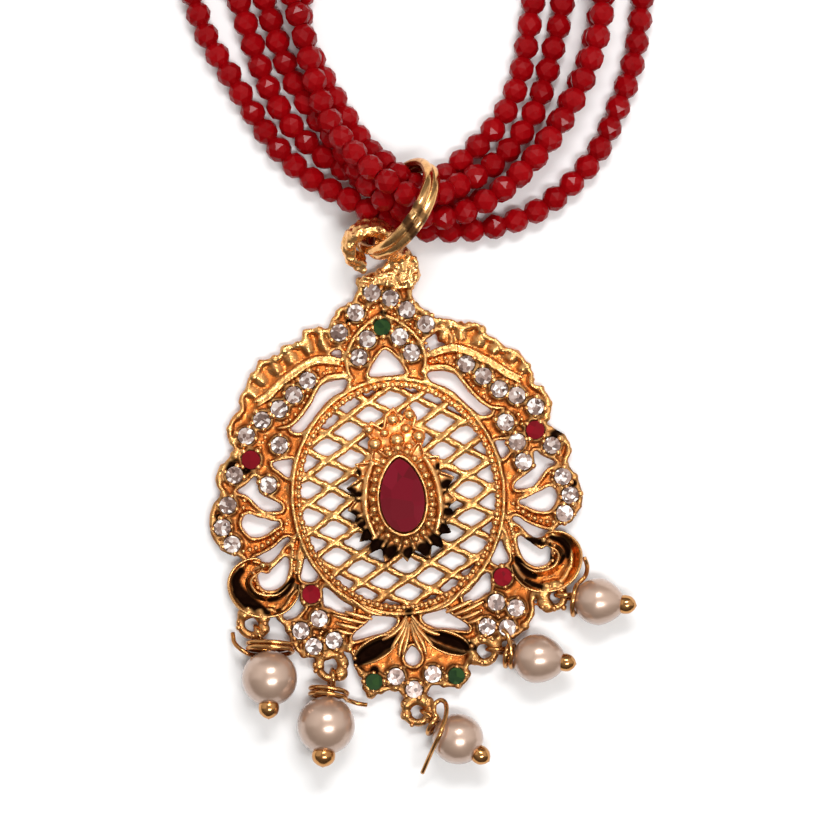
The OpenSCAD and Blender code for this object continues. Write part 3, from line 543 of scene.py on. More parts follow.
    def part(self, keep_upper: bool, height: float) -> "Blank":
        """Makes a closed copy of what lies above or below a height of y.

        Args:
            keep_upper: whether the upper part is kept.
            height: where the cut runs.

        Returns:
            The copy.
        """
        half = Blank(self.bm.copy())
        away = [f for f in half.bm.faces if (f.calc_center_median().y > height) != keep_upper]
        bmesh.ops.delete(half.bm, geom=away, context="FACES")
        cut = [e for e in half.bm.edges if e.is_boundary]
        bmesh.ops.holes_fill(half.bm, edges=cut, sides=0)
        for edge in cut:
            edge.smooth = False
        return half

    def outward(self) -> None:
        """Points every face outwards."""
        bmesh.ops.recalc_face_normals(self.bm, faces=self.bm.faces)

    def finish(self, name: str, material: Material, slot: Slot, nodes: Iterable[str],
               shade_smooth: bool = True) -> None:
        """Makes the finished piece: an object at the origin with its place in its mesh.

        Args:
            name: the piece's name.
            material: its finish.
            slot: the record's slot it stands for; not used.
            nodes: the solids that it replaces.
            shade_smooth: whether its faces blend into one another.
        """
        to_frame = Matrix.Scale(MM, 4) @ Matrix.Translation((-WHOLE_CENTRE[0], -WHOLE_CENTRE[1], 0.0))
        bmesh.ops.transform(self.bm, matrix=to_frame, verts=self.bm.verts)
        mesh = bpy.data.meshes.new(name)
        self.bm.to_mesh(mesh)
        self.bm.free()
        for face in mesh.polygons:
            face.use_smooth = shade_smooth
        mesh.materials.append(material)
        obj = staged(name, mesh)
        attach(obj, "root")
        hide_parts(*nodes)
        log.info("%s: %d faces", name, len(mesh.polygons))


def make_profile(points: Path) -> bpy.types.Object:
    """Makes the closed section that a channel is swept from.

    Args:
        points: the section, for a radius of one.

    Returns:
        A flat closed curve.
    """
    curve = bpy.data.curves.new("section", "CURVE")
    curve.dimensions = "2D"
    spline = curve.splines.new("POLY")
    spline.points.add(len(points) - 1)
    spline.use_cyclic_u = True
    for point, p in zip(spline.points, points):
        point.co = (p[0], p[1], 0.0, 1.0)
    return staged("section", curve)


# finishes

# painted shade: the gold is mixed towards a darker tone towards the bottom of the pendant, at the necklace's
# foot
FOOT_START, FOOT_END, FOOT_SHARE = -80 * MM, -110 * MM, 0.42
FOOT_SHADE = (0.22, 0.06, 0.012)
PIT_DEPTH = 0.12


@dataclass(frozen=True)
class Tree:
    """A node tree in the making."""

    tree: bpy.types.NodeTree

    def add(self, kind: str, inputs: Inputs | None = None, **settings: object) -> bpy.types.Node:
        """Adds a node.

        Args:
            kind: its type.
            inputs: what its sockets get: a value, or another node's output to link.
            settings: its own properties.

        Returns:
            The node.
        """
        node = self.tree.nodes.new(kind)
        for key, value in settings.items():
            setattr(node, key, value)
        self.feed(node, inputs or {})
        return node

    def feed(self, node: bpy.types.Node, inputs: Inputs) -> None:
        """Gives a node's sockets their values, or links them to other nodes' outputs.

        Args:
            node: the node.
            inputs: a value or an output for each socket.
        """
        for key, value in inputs.items():
            if isinstance(value, Socket):
                self.tree.links.new(value, node.inputs[key])
            else:
                node.inputs[key].default_value = value

    def where(self) -> Socket:
        """A point's place in the necklace's frame."""
        return self.add("ShaderNodeTexCoord").outputs["Object"]

    def scaled(self, value: Socket, factor: float, plus: Socket | float) -> Socket:
        """A value times a factor, plus another value."""
        return self.add("ShaderNodeMath", {0: value, 1: factor, 2: plus}, operation="MULTIPLY_ADD").outputs[0]

    def spread(self, value: Socket, low: float, high: float) -> Socket:
        """Maps a value from nought to one to low to high."""
        node = self.add("ShaderNodeMapRange", {"Value": value, "To Min": low, "To Max": high})
        return node.outputs["Result"]

    def mix(self, factor: Socket, first: Socket, second: Socket | Colour) -> Socket:
        """Mixes two colours by a value.

        Args:
            factor: the value: at nought the first colour shows, at one the second.
            first: the first colour.
            second: the second colour.

        Returns:
            The mixed colour.
        """
        node = self.add("ShaderNodeMix", data_type="RGBA")
        place = {socket.identifier: i for i, socket in enumerate(node.inputs)}
        self.feed(node, {place["Factor_Float"]: factor, place["A_Color"]: first,
                         place["B_Color"]: second if isinstance(second, Socket) else (*second, 1.0)})
        return next(o for o in node.outputs if o.identifier == "Result_Color")

    def ramp(self, source: Socket, stops: Sequence[tuple[float, Colour]]) -> Socket:
        """Maps a value to colours through the given stops.

        Args:
            source: the value.
            stops: places and colours, in order.

        Returns:
            The colour.
        """
        node = self.add("ShaderNodeValToRGB", {"Fac": source})
        elements = node.color_ramp.elements
        elements[0].position, elements[-1].position = stops[0][0], stops[-1][0]
        for place, _ in stops[1:-1]:
            elements.new(place)
        for element, (_, colour) in zip(elements, stops):
            element.color = (*colour, 1.0)
        return node.outputs["Color"]


def make_group(name: str, inputs: Sequence[tuple[str, str, object]], outputs: Sequence[tuple[str, str]]) \
        -> tuple[Tree, bpy.types.Node, bpy.types.Node]:
    """Starts a node group.

    Args:
        name: its name.
        inputs: name, socket type and default of each input.
        outputs: name and socket type of each output.

    Returns:
        Its tree, its input node and its output node.
    """
    group = bpy.data.node_groups.new(name, "ShaderNodeTree")
    for label, kind, value in inputs:
        socket = group.interface.new_socket(label, in_out="INPUT", socket_type=kind)
        socket.default_value = value
    for label, kind in outputs:
        group.interface.new_socket(label, in_out="OUTPUT", socket_type=kind)
    tree = Tree(group)
    return tree, tree.add("NodeGroupInput"), tree.add("NodeGroupOutput")


def cast_grain_group() -> bpy.types.NodeTree:
    """The grain of cast metal: fine pits over soft lumps, and a mask of its worn places.

    Returns:
        The group.
    """
    tree, given, out = make_group(
        "cast_grain", [("Lump Scale", "NodeSocketFloat", 1400.0), ("Pit Scale", "NodeSocketFloat", 6000.0)],
        [("Height", "NodeSocketFloat"), ("Wear", "NodeSocketFloat")])
    where = tree.where()
    lumps = tree.add("ShaderNodeTexNoise", {"Vector": where, "Scale": given.outputs["Lump Scale"],
                                            "Detail": 3.0, "Roughness": 0.6})
    pits = tree.add("ShaderNodeTexVoronoi", {"Vector": where, "Scale": given.outputs["Pit Scale"]})
    wear = tree.add("ShaderNodeMapRange", {"Value": lumps.outputs["Fac"], "From Min": 0.35, "From Max": 0.68})
    tree.feed(out, {"Height": tree.scaled(pits.outputs["Distance"], 0.22, lumps.outputs["Fac"]),
                    "Wear": wear.outputs["Result"]})
    return tree.tree


def depth_shading_group() -> bpy.types.NodeTree:
    """A colour with painted light: painted shade in the relief's recesses, a painted highlight on its tops
    and painted shade at the necklace's foot.

    Returns:
        The group.
    """
    tree, given, out = make_group(
        "depth_tone",
        [("Deep", "NodeSocketColor", (0.5, 0.2, 0.04, 1.0)),
         ("Light", "NodeSocketColor", (1.0, 0.7, 0.3, 1.0)),
         ("Low", "NodeSocketFloat", 0.0), ("High", "NodeSocketFloat", 0.002),
         ("Wear", "NodeSocketFloat", 0.5)],
        [("Color", "NodeSocketColor")])
    where = tree.add("ShaderNodeSeparateXYZ", {0: tree.where()})
    # painted shade in the recesses and painted highlight on the tops, set by height over the table
    rise = tree.add("ShaderNodeMapRange", {"Value": where.outputs["Z"], "From Min": given.outputs["Low"],
                                           "From Max": given.outputs["High"]},
                    interpolation_type="SMOOTHSTEP")
    worn = tree.scaled(given.outputs["Wear"], 0.8, -0.42)
    mask = tree.add("ShaderNodeMath", {0: rise.outputs["Result"], 1: worn}, operation="ADD", use_clamp=True)
    toned = tree.mix(mask.outputs[0], given.outputs["Deep"], given.outputs["Light"])
    # painted shade towards the necklace's foot, set by y
    foot = tree.add("ShaderNodeMapRange", {"Value": where.outputs["Y"], "From Min": FOOT_START,
                                           "From Max": FOOT_END, "To Max": FOOT_SHARE},
                    interpolation_type="SMOOTHSTEP")
    result = tree.mix(foot.outputs["Result"], toned, FOOT_SHADE)
    tree.feed(out, {"Color": result})
    return tree.tree


GROUPS: dict[str, bpy.types.NodeTree] = {}


@dataclass(frozen=True)
class Finish:
    """A material and what is set on its Principled shader.

    Attributes:
        name: the material's name.
    """

    name: str

    def inputs(self, tree: Tree) -> Inputs:
        """What the shader's sockets get: values, or outputs of nodes that this adds."""
        raise NotImplementedError

    def build(self) -> Material:
        """Builds the material.

        Returns:
            The material.
        """
        material = bpy.data.materials.new(self.name)
        material.use_nodes = True
        tree = Tree(material.node_tree)
        tree.feed(next(n for n in tree.tree.nodes if n.type == "BSDF_PRINCIPLED"), self.inputs(tree))
        return material


@dataclass(frozen=True)
class GoldFinish(Finish):
    """Gold plating over cast or drawn metal, its colour carrying painted shade and painted highlights.

    Attributes:
        deep: painted shade colour in the recesses.
        light: painted highlight colour on the tops.
        hollow: colour of the painted shade and the painted dark reflections.
        low: height of the recesses.
        high: height of the tops.
        roughness: of the polished and the dull places.
        lump: distance between lumps of the casting.
        grain: strength of its grain.
    """

    deep: Colour = (0.55, 0.15, 0.029)
    light: Colour = (0.73, 0.405, 0.145)
    hollow: Colour = (0.012, 0.004, 0.002)
    low: float = 0.6
    high: float = 1.9
    roughness: tuple[float, float] = (0.21, 0.4)
    lump: float = 0.7
    grain: float = 0.6

    def inputs(self, tree: Tree) -> Inputs:
        """What the shader's sockets get.

        Args:
            tree: the material's tree.

        Returns:
            Values and outputs by socket.
        """
        grain = tree.add("ShaderNodeGroup", {"Lump Scale": 1 / (self.lump * MM),
                                             "Pit Scale": 4 / (self.lump * MM)},
                         node_tree=GROUPS["cast_grain"])
        tone = tree.add("ShaderNodeGroup", {"Deep": (*self.deep, 1.0), "Light": (*self.light, 1.0),
                                            "Low": self.low * MM, "High": self.high * MM,
                                            "Wear": grain.outputs["Wear"]}, node_tree=GROUPS["depth_tone"])
        polish, dull = self.roughness
        bump = tree.add("ShaderNodeBump", {"Strength": self.grain, "Distance": PIT_DEPTH * MM,
                                           "Height": grain.outputs["Height"]})
        # painted shade and painted dark reflections, marked on the vertices
        hollow = tree.add("ShaderNodeAttribute", attribute_name="hollow").outputs["Fac"]
        return {"Base Color": tree.mix(hollow, tone.outputs["Color"], self.hollow),
                "Roughness": tree.scaled(hollow, 0.45, tree.spread(grain.outputs["Wear"], dull, polish)),
                "Normal": bump.outputs["Normal"], "Metallic": 1.0}


@dataclass(frozen=True)
class StoneFinish(Finish):
    """A small foil-backed stone whose inside is painted with cells of painted shade and painted glints.

    Attributes:
        painted_glints: colours from its darkest painted cells to its brightest painted glints, with their
            places.
        glint_size: distance between the painted cells.
        roughness: of its faces.
        metallic: how far the foil behind it shows.
        coat: its polish.
        gloss: how strongly its faces reflect.
    """

    painted_glints: tuple[tuple[float, Colour], ...]
    glint_size: float = 0.5
    roughness: float = 0.12
    metallic: float = 0.0
    coat: float = 0.6
    gloss: float = 0.5

    def inputs(self, tree: Tree) -> Inputs:
        """What the shader's sockets get.

        Args:
            tree: the material's tree.

        Returns:
            Values and outputs by socket.
        """
        # painted glints: each cell gets a shade or a highlight from the ramp
        cells = tree.add("ShaderNodeTexVoronoi", {"Vector": tree.where(), "Scale": 1 / (self.glint_size * MM),
                                                  "Randomness": 1.0})
        value = tree.add("ShaderNodeSeparateColor", {0: cells.outputs["Color"]})
        return {"Base Color": tree.ramp(value.outputs["Red"], self.painted_glints),
                "Roughness": tree.spread(value.outputs["Green"], self.roughness, self.roughness + 0.2),
                "Metallic": self.metallic, "IOR": 1.7, "Specular IOR Level": self.gloss,
                "Coat Weight": self.coat, "Coat Roughness": 0.05}


@dataclass(frozen=True)
class BeadFinish(Finish):
    """Deep crimson cut glass, each bead a little different, with painted shade towards its rim and a painted
    glow.

    Attributes:
        dark: its deepest colour.
        bright: its brightest colour.
        roughness: of its faces.
        glow: a painted glow that stands in for the light that passes through.
    """

    dark: Colour = (0.17, 0.0006, 0.0018)
    bright: Colour = (0.278, 0.001, 0.003)
    roughness: float = 0.34
    glow: float = 0.12

    def inputs(self, tree: Tree) -> Inputs:
        """What the shader's sockets get.

        Args:
            tree: the material's tree.

        Returns:
            Values and outputs by socket.
        """
        tone = tree.add("ShaderNodeAttribute", attribute_name="tone").outputs["Fac"]
        cloud = tree.add("ShaderNodeTexNoise", {"Vector": tree.where(), "Scale": 900.0, "Detail": 2.0})
        # painted shade: darker where the bead turns away from the eye, lighter in its middle
        edge = tree.add("ShaderNodeLayerWeight", {"Blend": 0.4})
        inside = tree.scaled(edge.outputs["Facing"], -0.22, tree.scaled(cloud.outputs["Fac"], 0.5, tone))
        colour = tree.ramp(inside, ((0.0, self.dark), (0.75, self.bright)))
        return {"Base Color": colour,
                "Roughness": tree.spread(tone, self.roughness - 0.1, self.roughness + 0.12),
                # painted glow: the emission lifts the shaded sides
                "Emission Color": colour, "Emission Strength": self.glow, "Specular IOR Level": 0.06,
                "Coat Weight": 0.15, "Coat Roughness": 0.04}


@dataclass(frozen=True)
class PearlFinish(Finish):
    """Greyish cream pearl with a soft deep gloss, painted darker towards its rim.

    Attributes:
        body: its colour where it faces the eye, a painted light middle.
        rim: the painted shade towards its rim.
    """

    body: Colour = (0.59, 0.405, 0.302)
    rim: Colour = (0.35, 0.2, 0.13)

    def inputs(self, tree: Tree) -> Inputs:
        """What the shader's sockets get.

        Args:
            tree: the material's tree.

        Returns:
            Values and outputs by socket.
        """
        # painted shade: the colour darkens from body to rim as the surface turns away from the eye
        facing = tree.add("ShaderNodeLayerWeight", {"Blend": 0.35})
        clouds = tree.add("ShaderNodeTexNoise", {"Vector": tree.where(), "Scale": 350.0, "Detail": 4.0})
        cloud = clouds.outputs["Fac"]
        cloudy = tree.scaled(cloud, 0.3, facing.outputs["Facing"])
        return {"Base Color": tree.ramp(cloudy, ((0.1, self.body), (0.95, self.rim))),
                "Roughness": tree.spread(cloud, 0.26, 0.34), "Metallic": 0.5, "Specular IOR Level": 0.8,
                "Coat Weight": 1.0, "Coat IOR": 1.7, "Coat Roughness": 0.22}


@dataclass(frozen=True)
class TableFinish(Finish):
    """The dull pale table top."""

    def inputs(self, tree: Tree) -> Inputs:
        """What the shader's sockets get.

        Args:
            tree: the material's tree.

        Returns:
            Values and outputs by socket.
        """
        cloud = tree.add("ShaderNodeTexNoise", {"Vector": tree.where(), "Scale": 30.0})
        pale = ((0.3, (0.9, 0.9, 0.9)), (0.7, (0.92, 0.92, 0.92)))
        return {"Base Color": tree.ramp(cloud.outputs["Fac"], pale), "Roughness": 0.9,
                "Specular IOR Level": 0.1}


# the casting


@dataclass
class Casting:
    """The pierced gold casting: frame, lattice, rosette and polished scrolls.

    Attributes:
        rim: the lattice's half width and half height.
        rim_width: the width of the rim round it.
        lattice_step: half the distance between the lattice's crossings, across and up.
        lattice_shift: how far the lattice lies to the right.
        bar_radius: the radius of its bars.
        arch, wing_top, wing_foot, veins, scroll, leaf, fan, bars, posts, limb: raised lines of the left side.
        dots: lines of the left side that carry granules.
        balls: x, y and radius of single balls.
        shaded_pits, reflection_streaks, rosette_shaded_pits: x, y and reach of the painted shade and the
        painted dark reflections.
        border_line to palmette_line: how those lines are drawn.
        rim_lines: how far each ridge of the rim is moved outwards, and how it is drawn.
        loop_height: the height of the middle of the hanging loops.
        plain_corner: the place and reach of the scrolls, whose edge has no granules.
    """

    rim: tuple[float, float] = (12.8, 14.3)
    rim_width: float = 1.3
    lattice_step: tuple[float, float] = (2.88, 1.725)
    lattice_shift: float = 0.3
    bar_radius: float = 0.5
    arch: Path = (
        (0, 22.9), (-1.5, 22.1), (-3, 20.9), (-4.1, 19.6), (-4.7, 18.3), (-4.95, 17), (-4.75, 15.9),
        (-4.2, 15))
    wing_top: Path = (
        (-5.6, 17.3), (-7.2, 17.7), (-8.7, 17.8), (-10.2, 17.3), (-11.9, 16.3), (-13.2, 15.5), (-14.9, 14.1),
        (-16.8, 13))
    wing_foot: Path = (
        (-5.2, 15.8), (-7.2, 15.7), (-8.3, 15.1), (-9.2, 13.9), (-10.2, 12.4), (-11.3, 11.1), (-12.7, 10),
        (-14.4, 9.8))
    veins: Sequence[Path] = (
        ((-7.2, 18.6), (-7.6, 19.9), (-7.8, 21.1)), ((-9.4, 18.5), (-9.6, 19.8), (-9.3, 21)),
        ((-11.4, 17.5), (-11.9, 18.6), (-11.8, 19.5)), ((-13.2, 16.5), (-13.9, 17.4), (-14.4, 18)),
        ((-15.1, 15.3), (-15.9, 16.2), (-16.2, 17)), ((-16.5, 13.9), (-17.2, 14.7), (-17.7, 15)))
    scroll: Path = (
        (-13.7, -9.7), (-14.6, -11.1), (-15.8, -12), (-17.2, -12.2), (-18.6, -12), (-19.8, -11.3),
        (-20.5, -10.2), (-20.7, -9.1), (-20.3, -8.1), (-19.5, -7.4), (-18.5, -7.1), (-17.7, -7.1))
    leaf: Path = ((-1.9, -17.8), (-3.2, -18.2), (-4.6, -18.8), (-5.9, -19.4), (-7, -20.1))
    fan: Sequence[Path] = (
        ((-0.3, -15), (-1.2, -16.3), (-2.4, -17.2), (-3.6, -17.7)),
        ((-0.3, -15.3), (-1, -16.8), (-1.9, -18), (-2.6, -19)),
        ((-0.2, -15.7), (-0.8, -17.3), (-1.4, -18.6), (-1.7, -20)),
        ((-0.1, -16), (-0.4, -17.6), (-0.8, -18.8), (-1.2, -19.8)))
    bars: Sequence[Path] = (
        ((-3.4, -14.6), (-5.2, -13.9), (-7, -12.3)), ((-4.6, -15), (-6.4, -14.4), (-8, -13.8)),
        ((-5.6, -15.4), (-7.6, -14.8), (-9.4, -14.1)), ((-6.4, -16), (-7.9, -15.6), (-9, -15.2)),
        ((-7.2, -16.6), (-8.4, -16.3), (-9.2, -15.9)))
    posts: Sequence[Path] = (
        ((-14.2, -9), (-14.1, -7.5), (-13.8, -5.6), (-13.3, -3.6)),
        ((-13.2, -9.4), (-13.3, -8), (-13, -6), (-12.6, -4.4)))
    limb: Path = (
        (-19.9, -5.1), (-18.6, -4.9), (-17.3, -4.6), (-16.1, -3.9), (-15.1, -3.1), (-14.2, -2.2))
    dots: Sequence[Path] = (
        ((-13.6, -8.4), (-13.8, -6.4), (-13.5, -4.4)), ((-8.2, -14.4), (-10, -16), (-11, -16)),
        ((-6.3, 16.6), (-8.2, 16.7), (-9.6, 16.2)), ((-19.2, 1.2), (-19.6, -0.6)),
        ((-15.9, 8.8), (-16.6, 7.6)), ((-7.2, -18.8), (-7.2, -20.6)), ((-3.6, -21.9), (-3.9, -23.4)),
        ((-18.9, -7.9), (-18.6, -9.6), (-17.6, -10.7), (-16, -10.9)), ((-12.9, -16.5), (-11.2, -16.2)),
        ((-4.1, 22), (-2.2, 23.4), (0, 23.9)))
    balls: Path = (
        (-5.6, -24.3, 0.7), (6.6, -22.9, 0.55), (5.4, -24.2, 0.55), (-1.6, 23.9, 0.45), (0.3, 23.2, 0.4),
        (4.6, 23.2, 0.4), (-7.8, 20.6, 0.5), (8.4, 20.6, 0.5), (-17, 7.4, 0.4), (16.2, 7.6, 0.4),
        (-19.2, 7.4, 0.4), (19, 7.9, 0.4), (-18.6, 5, 0.4), (18.4, 5.6, 0.4))
    shaded_pits: Path = (
        (-20.2, 5.4, 1.3), (-18.6, 5, 0.8), (20.4, 5.7, 1.2), (18.2, 10, 1.0),
        (-22.6, -0.6, 0.6), (22, -0.4, 0.6), (-20, -12.9, 0.9), (-21.3, -10.3, 0.8), (-16.6, -14.4, 0.6),
        (-4.9, -21.4, 0.8), (0.2, 22.9, 0.6), (-4.2, 22.2, 0.6), (4.2, 22.1, 0.6), (0, -14.6, 0.7))
    reflection_streaks: Sequence[Path] = (
        ((-20.4, -7.5, 0.6), (-21.1, -8.4, 0.75), (-21.1, -9.5, 0.95), (-20.4, -10.9, 1.15),
         (-19.3, -11.9, 1.1), (-18.3, -12.6, 0.75), (-17.5, -12.95, 0.4)),
        ((-17.2, -11.5, 0.45), (-16.2, -11.1, 0.6), (-15.3, -10.5, 0.75), (-14.6, -9.9, 0.65),
         (-14, -9.2, 0.35)),
        ((14.05, -9.1, 0.5), (14.7, -10.3, 0.75), (15.3, -11, 0.8), (16.1, -11.5, 0.5)),
        ((18.7, -6.9, 0.45), (19.8, -7.4, 0.65), (20.5, -8.4, 0.6), (20.4, -9.4, 0.4)),
        ((18.3, -7.8, 0.4), (18.1, -8.6, 0.35), (18.3, -9.5, 0.45), (19.1, -10.2, 0.4), (19.9, -9.4, 0.4)),
        ((15.7, -6.9, 0.5), (16.6, -7.2, 0.6), (17.6, -7.3, 0.4)),
        ((15, -11.9, 0.35), (16, -12.6, 0.45), (17.3, -13.1, 0.35)),
        ((-2.2, -17.9, 0.7), (-3.4, -18.3, 1.1), (-4.6, -18.8, 1.35), (-5.8, -19.4, 1.3), (-7, -20.1, 0.9)),
        ((2.3, -17.4, 0.6), (3.5, -17.9, 1.0), (5, -18.5, 1.25), (6.5, -19.2, 1.1), (7.7, -19.7, 0.6)))
    rosette_shaded_pits: Path = (
        (-5.9, 0.9, 1.1), (-4.9, 0.4, 0.9), (-5.6, -2, 1.2), (-4.6, -3.6, 1.4), (-4.2, -5, 1.5),
        (-3, -6.2, 1.7), (-1.4, -6.9, 1.3), (0.8, -7.2, 1.2), (2.6, -6.9, 1.3), (4, -6.2, 1.6),
        (5.2, -4.6, 1.6), (6.1, -2.2, 1.2), (6.2, 0.9, 1.1), (5.3, 0.2, 0.9), (-4.9, 3.4, 0.8),
        (5.4, 3.2, 0.7))

    border_line: Line = Line(0.34, 1.35)
    lip_line: Line = Line(0.24, 1.42)
    arch_line: Line = Line(0.3, 1.5, 0.7)
    wing_line: Line = Line(0.3, 1.6, 0.6)
    vein_line: Line = Line(0.95, 0.72, 0.65)
    post_line: Line = Line(0.3, 1.4, 0.8)
    palmette_line: Line = Line(0.33, 1.72, 0.5)
    rim_lines: Sequence[tuple[float, Line]] = ((-0.4, Line(0.24, 1.4)), (0.42, Line(0.3, 1.5)))
    loop_height: float = 1.35
    plain_corner: tuple[float, float, float] = (18, -9.8, 4.4)

    def both(self, lines: Iterable[Path], parts: int = 3) -> list[list[Point]]:
        """Lines of the left side and their mirror images, smoothed."""
        left = [smooth(line, parts) for line in lines]
        return [*left, *(mirrored(line) for line in left)]

    def shadows(self) -> list[Point]:
        """Places and reach of the painted dark reflections that streak the scrolls and the leaves."""
        return [tuple(p) for line in self.reflection_streaks for p in spaced(smooth(line, 4), 0.25)]

    def seats(self) -> list[Point]:
        """Place and radius of each small stone.

        Returns:
            x, y and radius of each.
        """
        fields = [*((places, WHITE_RADIUS) for places in WHITE_STONES.values()),
                  (RED_STONES, RED_RADIUS), (GREEN_STONES, GREEN_RADIUS)]
        return [(x, y, radius) for places, radius in fields for x, y in places]

    def add_cups(self, blank: Blank) -> None:
        """Adds each stone's cup: a disc under it and a raised collar.

        Args:
            blank: the piece in the making.
        """
        for x, y, r in self.seats():
            blank.add_plate(circle(x, y, r + 0.25, 16), bottom=0.05, top=PLATE_TOP + 0.1, edge=0.1)
            blank.add_rails([Rail(circle(x, y, r + 0.14, 20), 0.2, PLATE_TOP + 0.22, closed=True)], 1)

    def build_frame(self, gold: Material) -> None:
        """Builds the plate with its border, lips, lines, granules, cups and hanging loops.

        Args:
            gold: its finish.
        """
        blank = Blank()
        edge = smooth([*EDGE_LEFT, *EDGE_RIGHT], 2, closed=True)
        gaps = [smooth(gap, 2, closed=True)
                for gap in (*SHARED_GAPS, *(mirrored(gap) for gap in SHARED_GAPS), *SINGLE_GAPS)]
        inner = oval(self.rim[0] - self.rim_width / 2, self.rim[1] - self.rim_width / 2)
        blank.add_plate(edge, bottom=0.0, top=PLATE_TOP, edge=0.15, holes=[*gaps, inner])
        border = grown(edge, -0.32)
        blank.add_lines([border], self.border_line, closed=True)
        blank.add_lines([grown(gap, 0.25) for gap in gaps], self.lip_line, closed=True)
        blank.add_lines(self.both((self.arch, self.wing_foot)), self.arch_line)
        for shift in (-0.32, 0.32):
            blank.add_lines(self.both((beside(self.wing_top, shift),)), self.wing_line)
        blank.add_lines(self.both(self.veins), self.vein_line)
        blank.add_lines(self.both(self.posts), self.post_line)
        rng = random.Random(3)
        x, y, reach = self.plain_corner
        for place in spaced(border, 1.9, closed=True):
            if math.hypot(abs(place.x) - x, place.y - y) < reach:
                continue
            jitter = Vector((rng.uniform(-0.15, 0.15), rng.uniform(-0.15, 0.15), 1.3))
            blank.add_ball(place + jitter, rng.uniform(0.35, 0.68), 0.85)
        for x, y, r in self.balls:
            blank.add_ball((x, y, 1.35), r)
        for shift, line in self.rim_lines:
            blank.add_lines([oval(self.rim[0] + shift, self.rim[1] + shift)], line, closed=True)
        self.add_cups(blank)
        self.add_loops(blank)
        blank.fuse(voxel=0.17, lump=0.085, lump_size=0.9)
        blank.keep_above(0.0)
        # painted shade in the pits and painted dark reflections along the scrolls and leaves
        blank.darken(self.shaded_pits, top=1.9)
        blank.darken(self.shadows(), top=2.2)
        # painted shade round each stone's cup
        blank.darken([(x, y, r + 1.0) for x, y, r in self.seats()], top=1.75, strength=0.62)
        for name, upper in (("casting_upper_frame", True), ("casting_lower_frame", False)):
            blank.part(upper, -0.5).finish(name, gold, Slot.GOLD, ["pendant_casting"])

    def build_beading(self, gold: Material) -> None:
        """Builds the bright granules and lines: claws, beaded rows, loops, palmette and crest.

        Args:
            gold: its finish.
        """
        blank = Blank()
        rng = random.Random(7)
        for x, y, r in self.seats():
            turn = rng.uniform(0, math.tau / 4)
            for k in range(4):
                a = turn + math.tau * k / 4 + rng.uniform(-0.25, 0.25)
                claw = polar(x, y, r + rng.uniform(0.0, 0.2), a, PLATE_TOP + 0.75)
                blank.add_ball(claw, rng.uniform(0.32, 0.46))
        inner = oval(self.rim[0] - 0.36, self.rim[1] - 0.36)
        under_wing, in_arch = beside(self.wing_foot, -0.6), beside(self.arch, -0.6)
        rosette = Rosette()
        # places, radius and height of the granules of each row
        rows = [(spaced(inner, 1.12, closed=True), 0.46, 1.5),
                *((spaced(line, 0.85), 0.36, 1.55) for line in self.both((self.limb,))),
                *((spaced(line[4:-2], 0.95), 0.27, 1.45) for line in self.both((under_wing,))),
                *((spaced(line[3:], 0.8), 0.25, 1.4) for line in self.both((in_arch,))),
                *((spaced(line, 1.0), 0.3, 1.5) for line in self.both(self.dots)),
                (spaced(rosette.pear(0.98), 1.25, closed=True), 0.5, 3.0)]
        for places, radius, height in rows:
            for place in places:
                blank.add_ball(place + Vector((0.0, 0.0, height)), radius * rng.uniform(0.88, 1.08))
        for x, y, r in rosette.crest_balls:
            blank.add_ball((x, y, 1.75), 1.2 * r)
        for x, y, outer, hole in LOOPS:
            for k in range(7):
                a = math.tau * (k + rng.uniform(-0.3, 0.3)) / 7
                grain = polar(x, y, (outer + hole) / 2 + rng.uniform(0.0, 0.5), a, 1.85)
                blank.add_ball(grain, rng.uniform(0.28, 0.4))
        blank.add_lines(self.both((*self.fan, *self.bars)), self.palmette_line)
        blank.finish("casting_beading", gold, Slot.GOLD, ["pendant_casting"])

    def add_loops(self, blank: Blank) -> None:
        """Adds the flat hanging loops, with a row of balls on the side towards the casting.

        Args:
            blank: the piece in the making.
        """
        for x, y, outer, hole in LOOPS:
            middle, half = (outer + hole) / 2, (outer - hole) / 2
            blank.add_lines([circle(x, y, middle, 28)], Line(half * 1.1, self.loop_height), closed=True)
            inward = math.atan2(-y, -x)
            for k, off in enumerate((-1.75, -1.05, -0.35, 0.35, 1.05, 1.75)):
                a = inward + off + 0.15 * math.sin(5 * x + 3 * k)
                blank.add_ball(polar(x, y, middle + 0.05, a, 1.5), 0.86 + 0.12 * math.sin(7 * k + x), 0.7)

    def build_lattice(self, gold: Material) -> None:
        """Builds the diamond lattice of round bars with a small knot at each crossing.

        Args:
            gold: its finish.
        """
        blank = Blank()
        a, b = self.rim
        rise = math.atan2(self.lattice_step[1], self.lattice_step[0])
        bars: list[Rail] = []
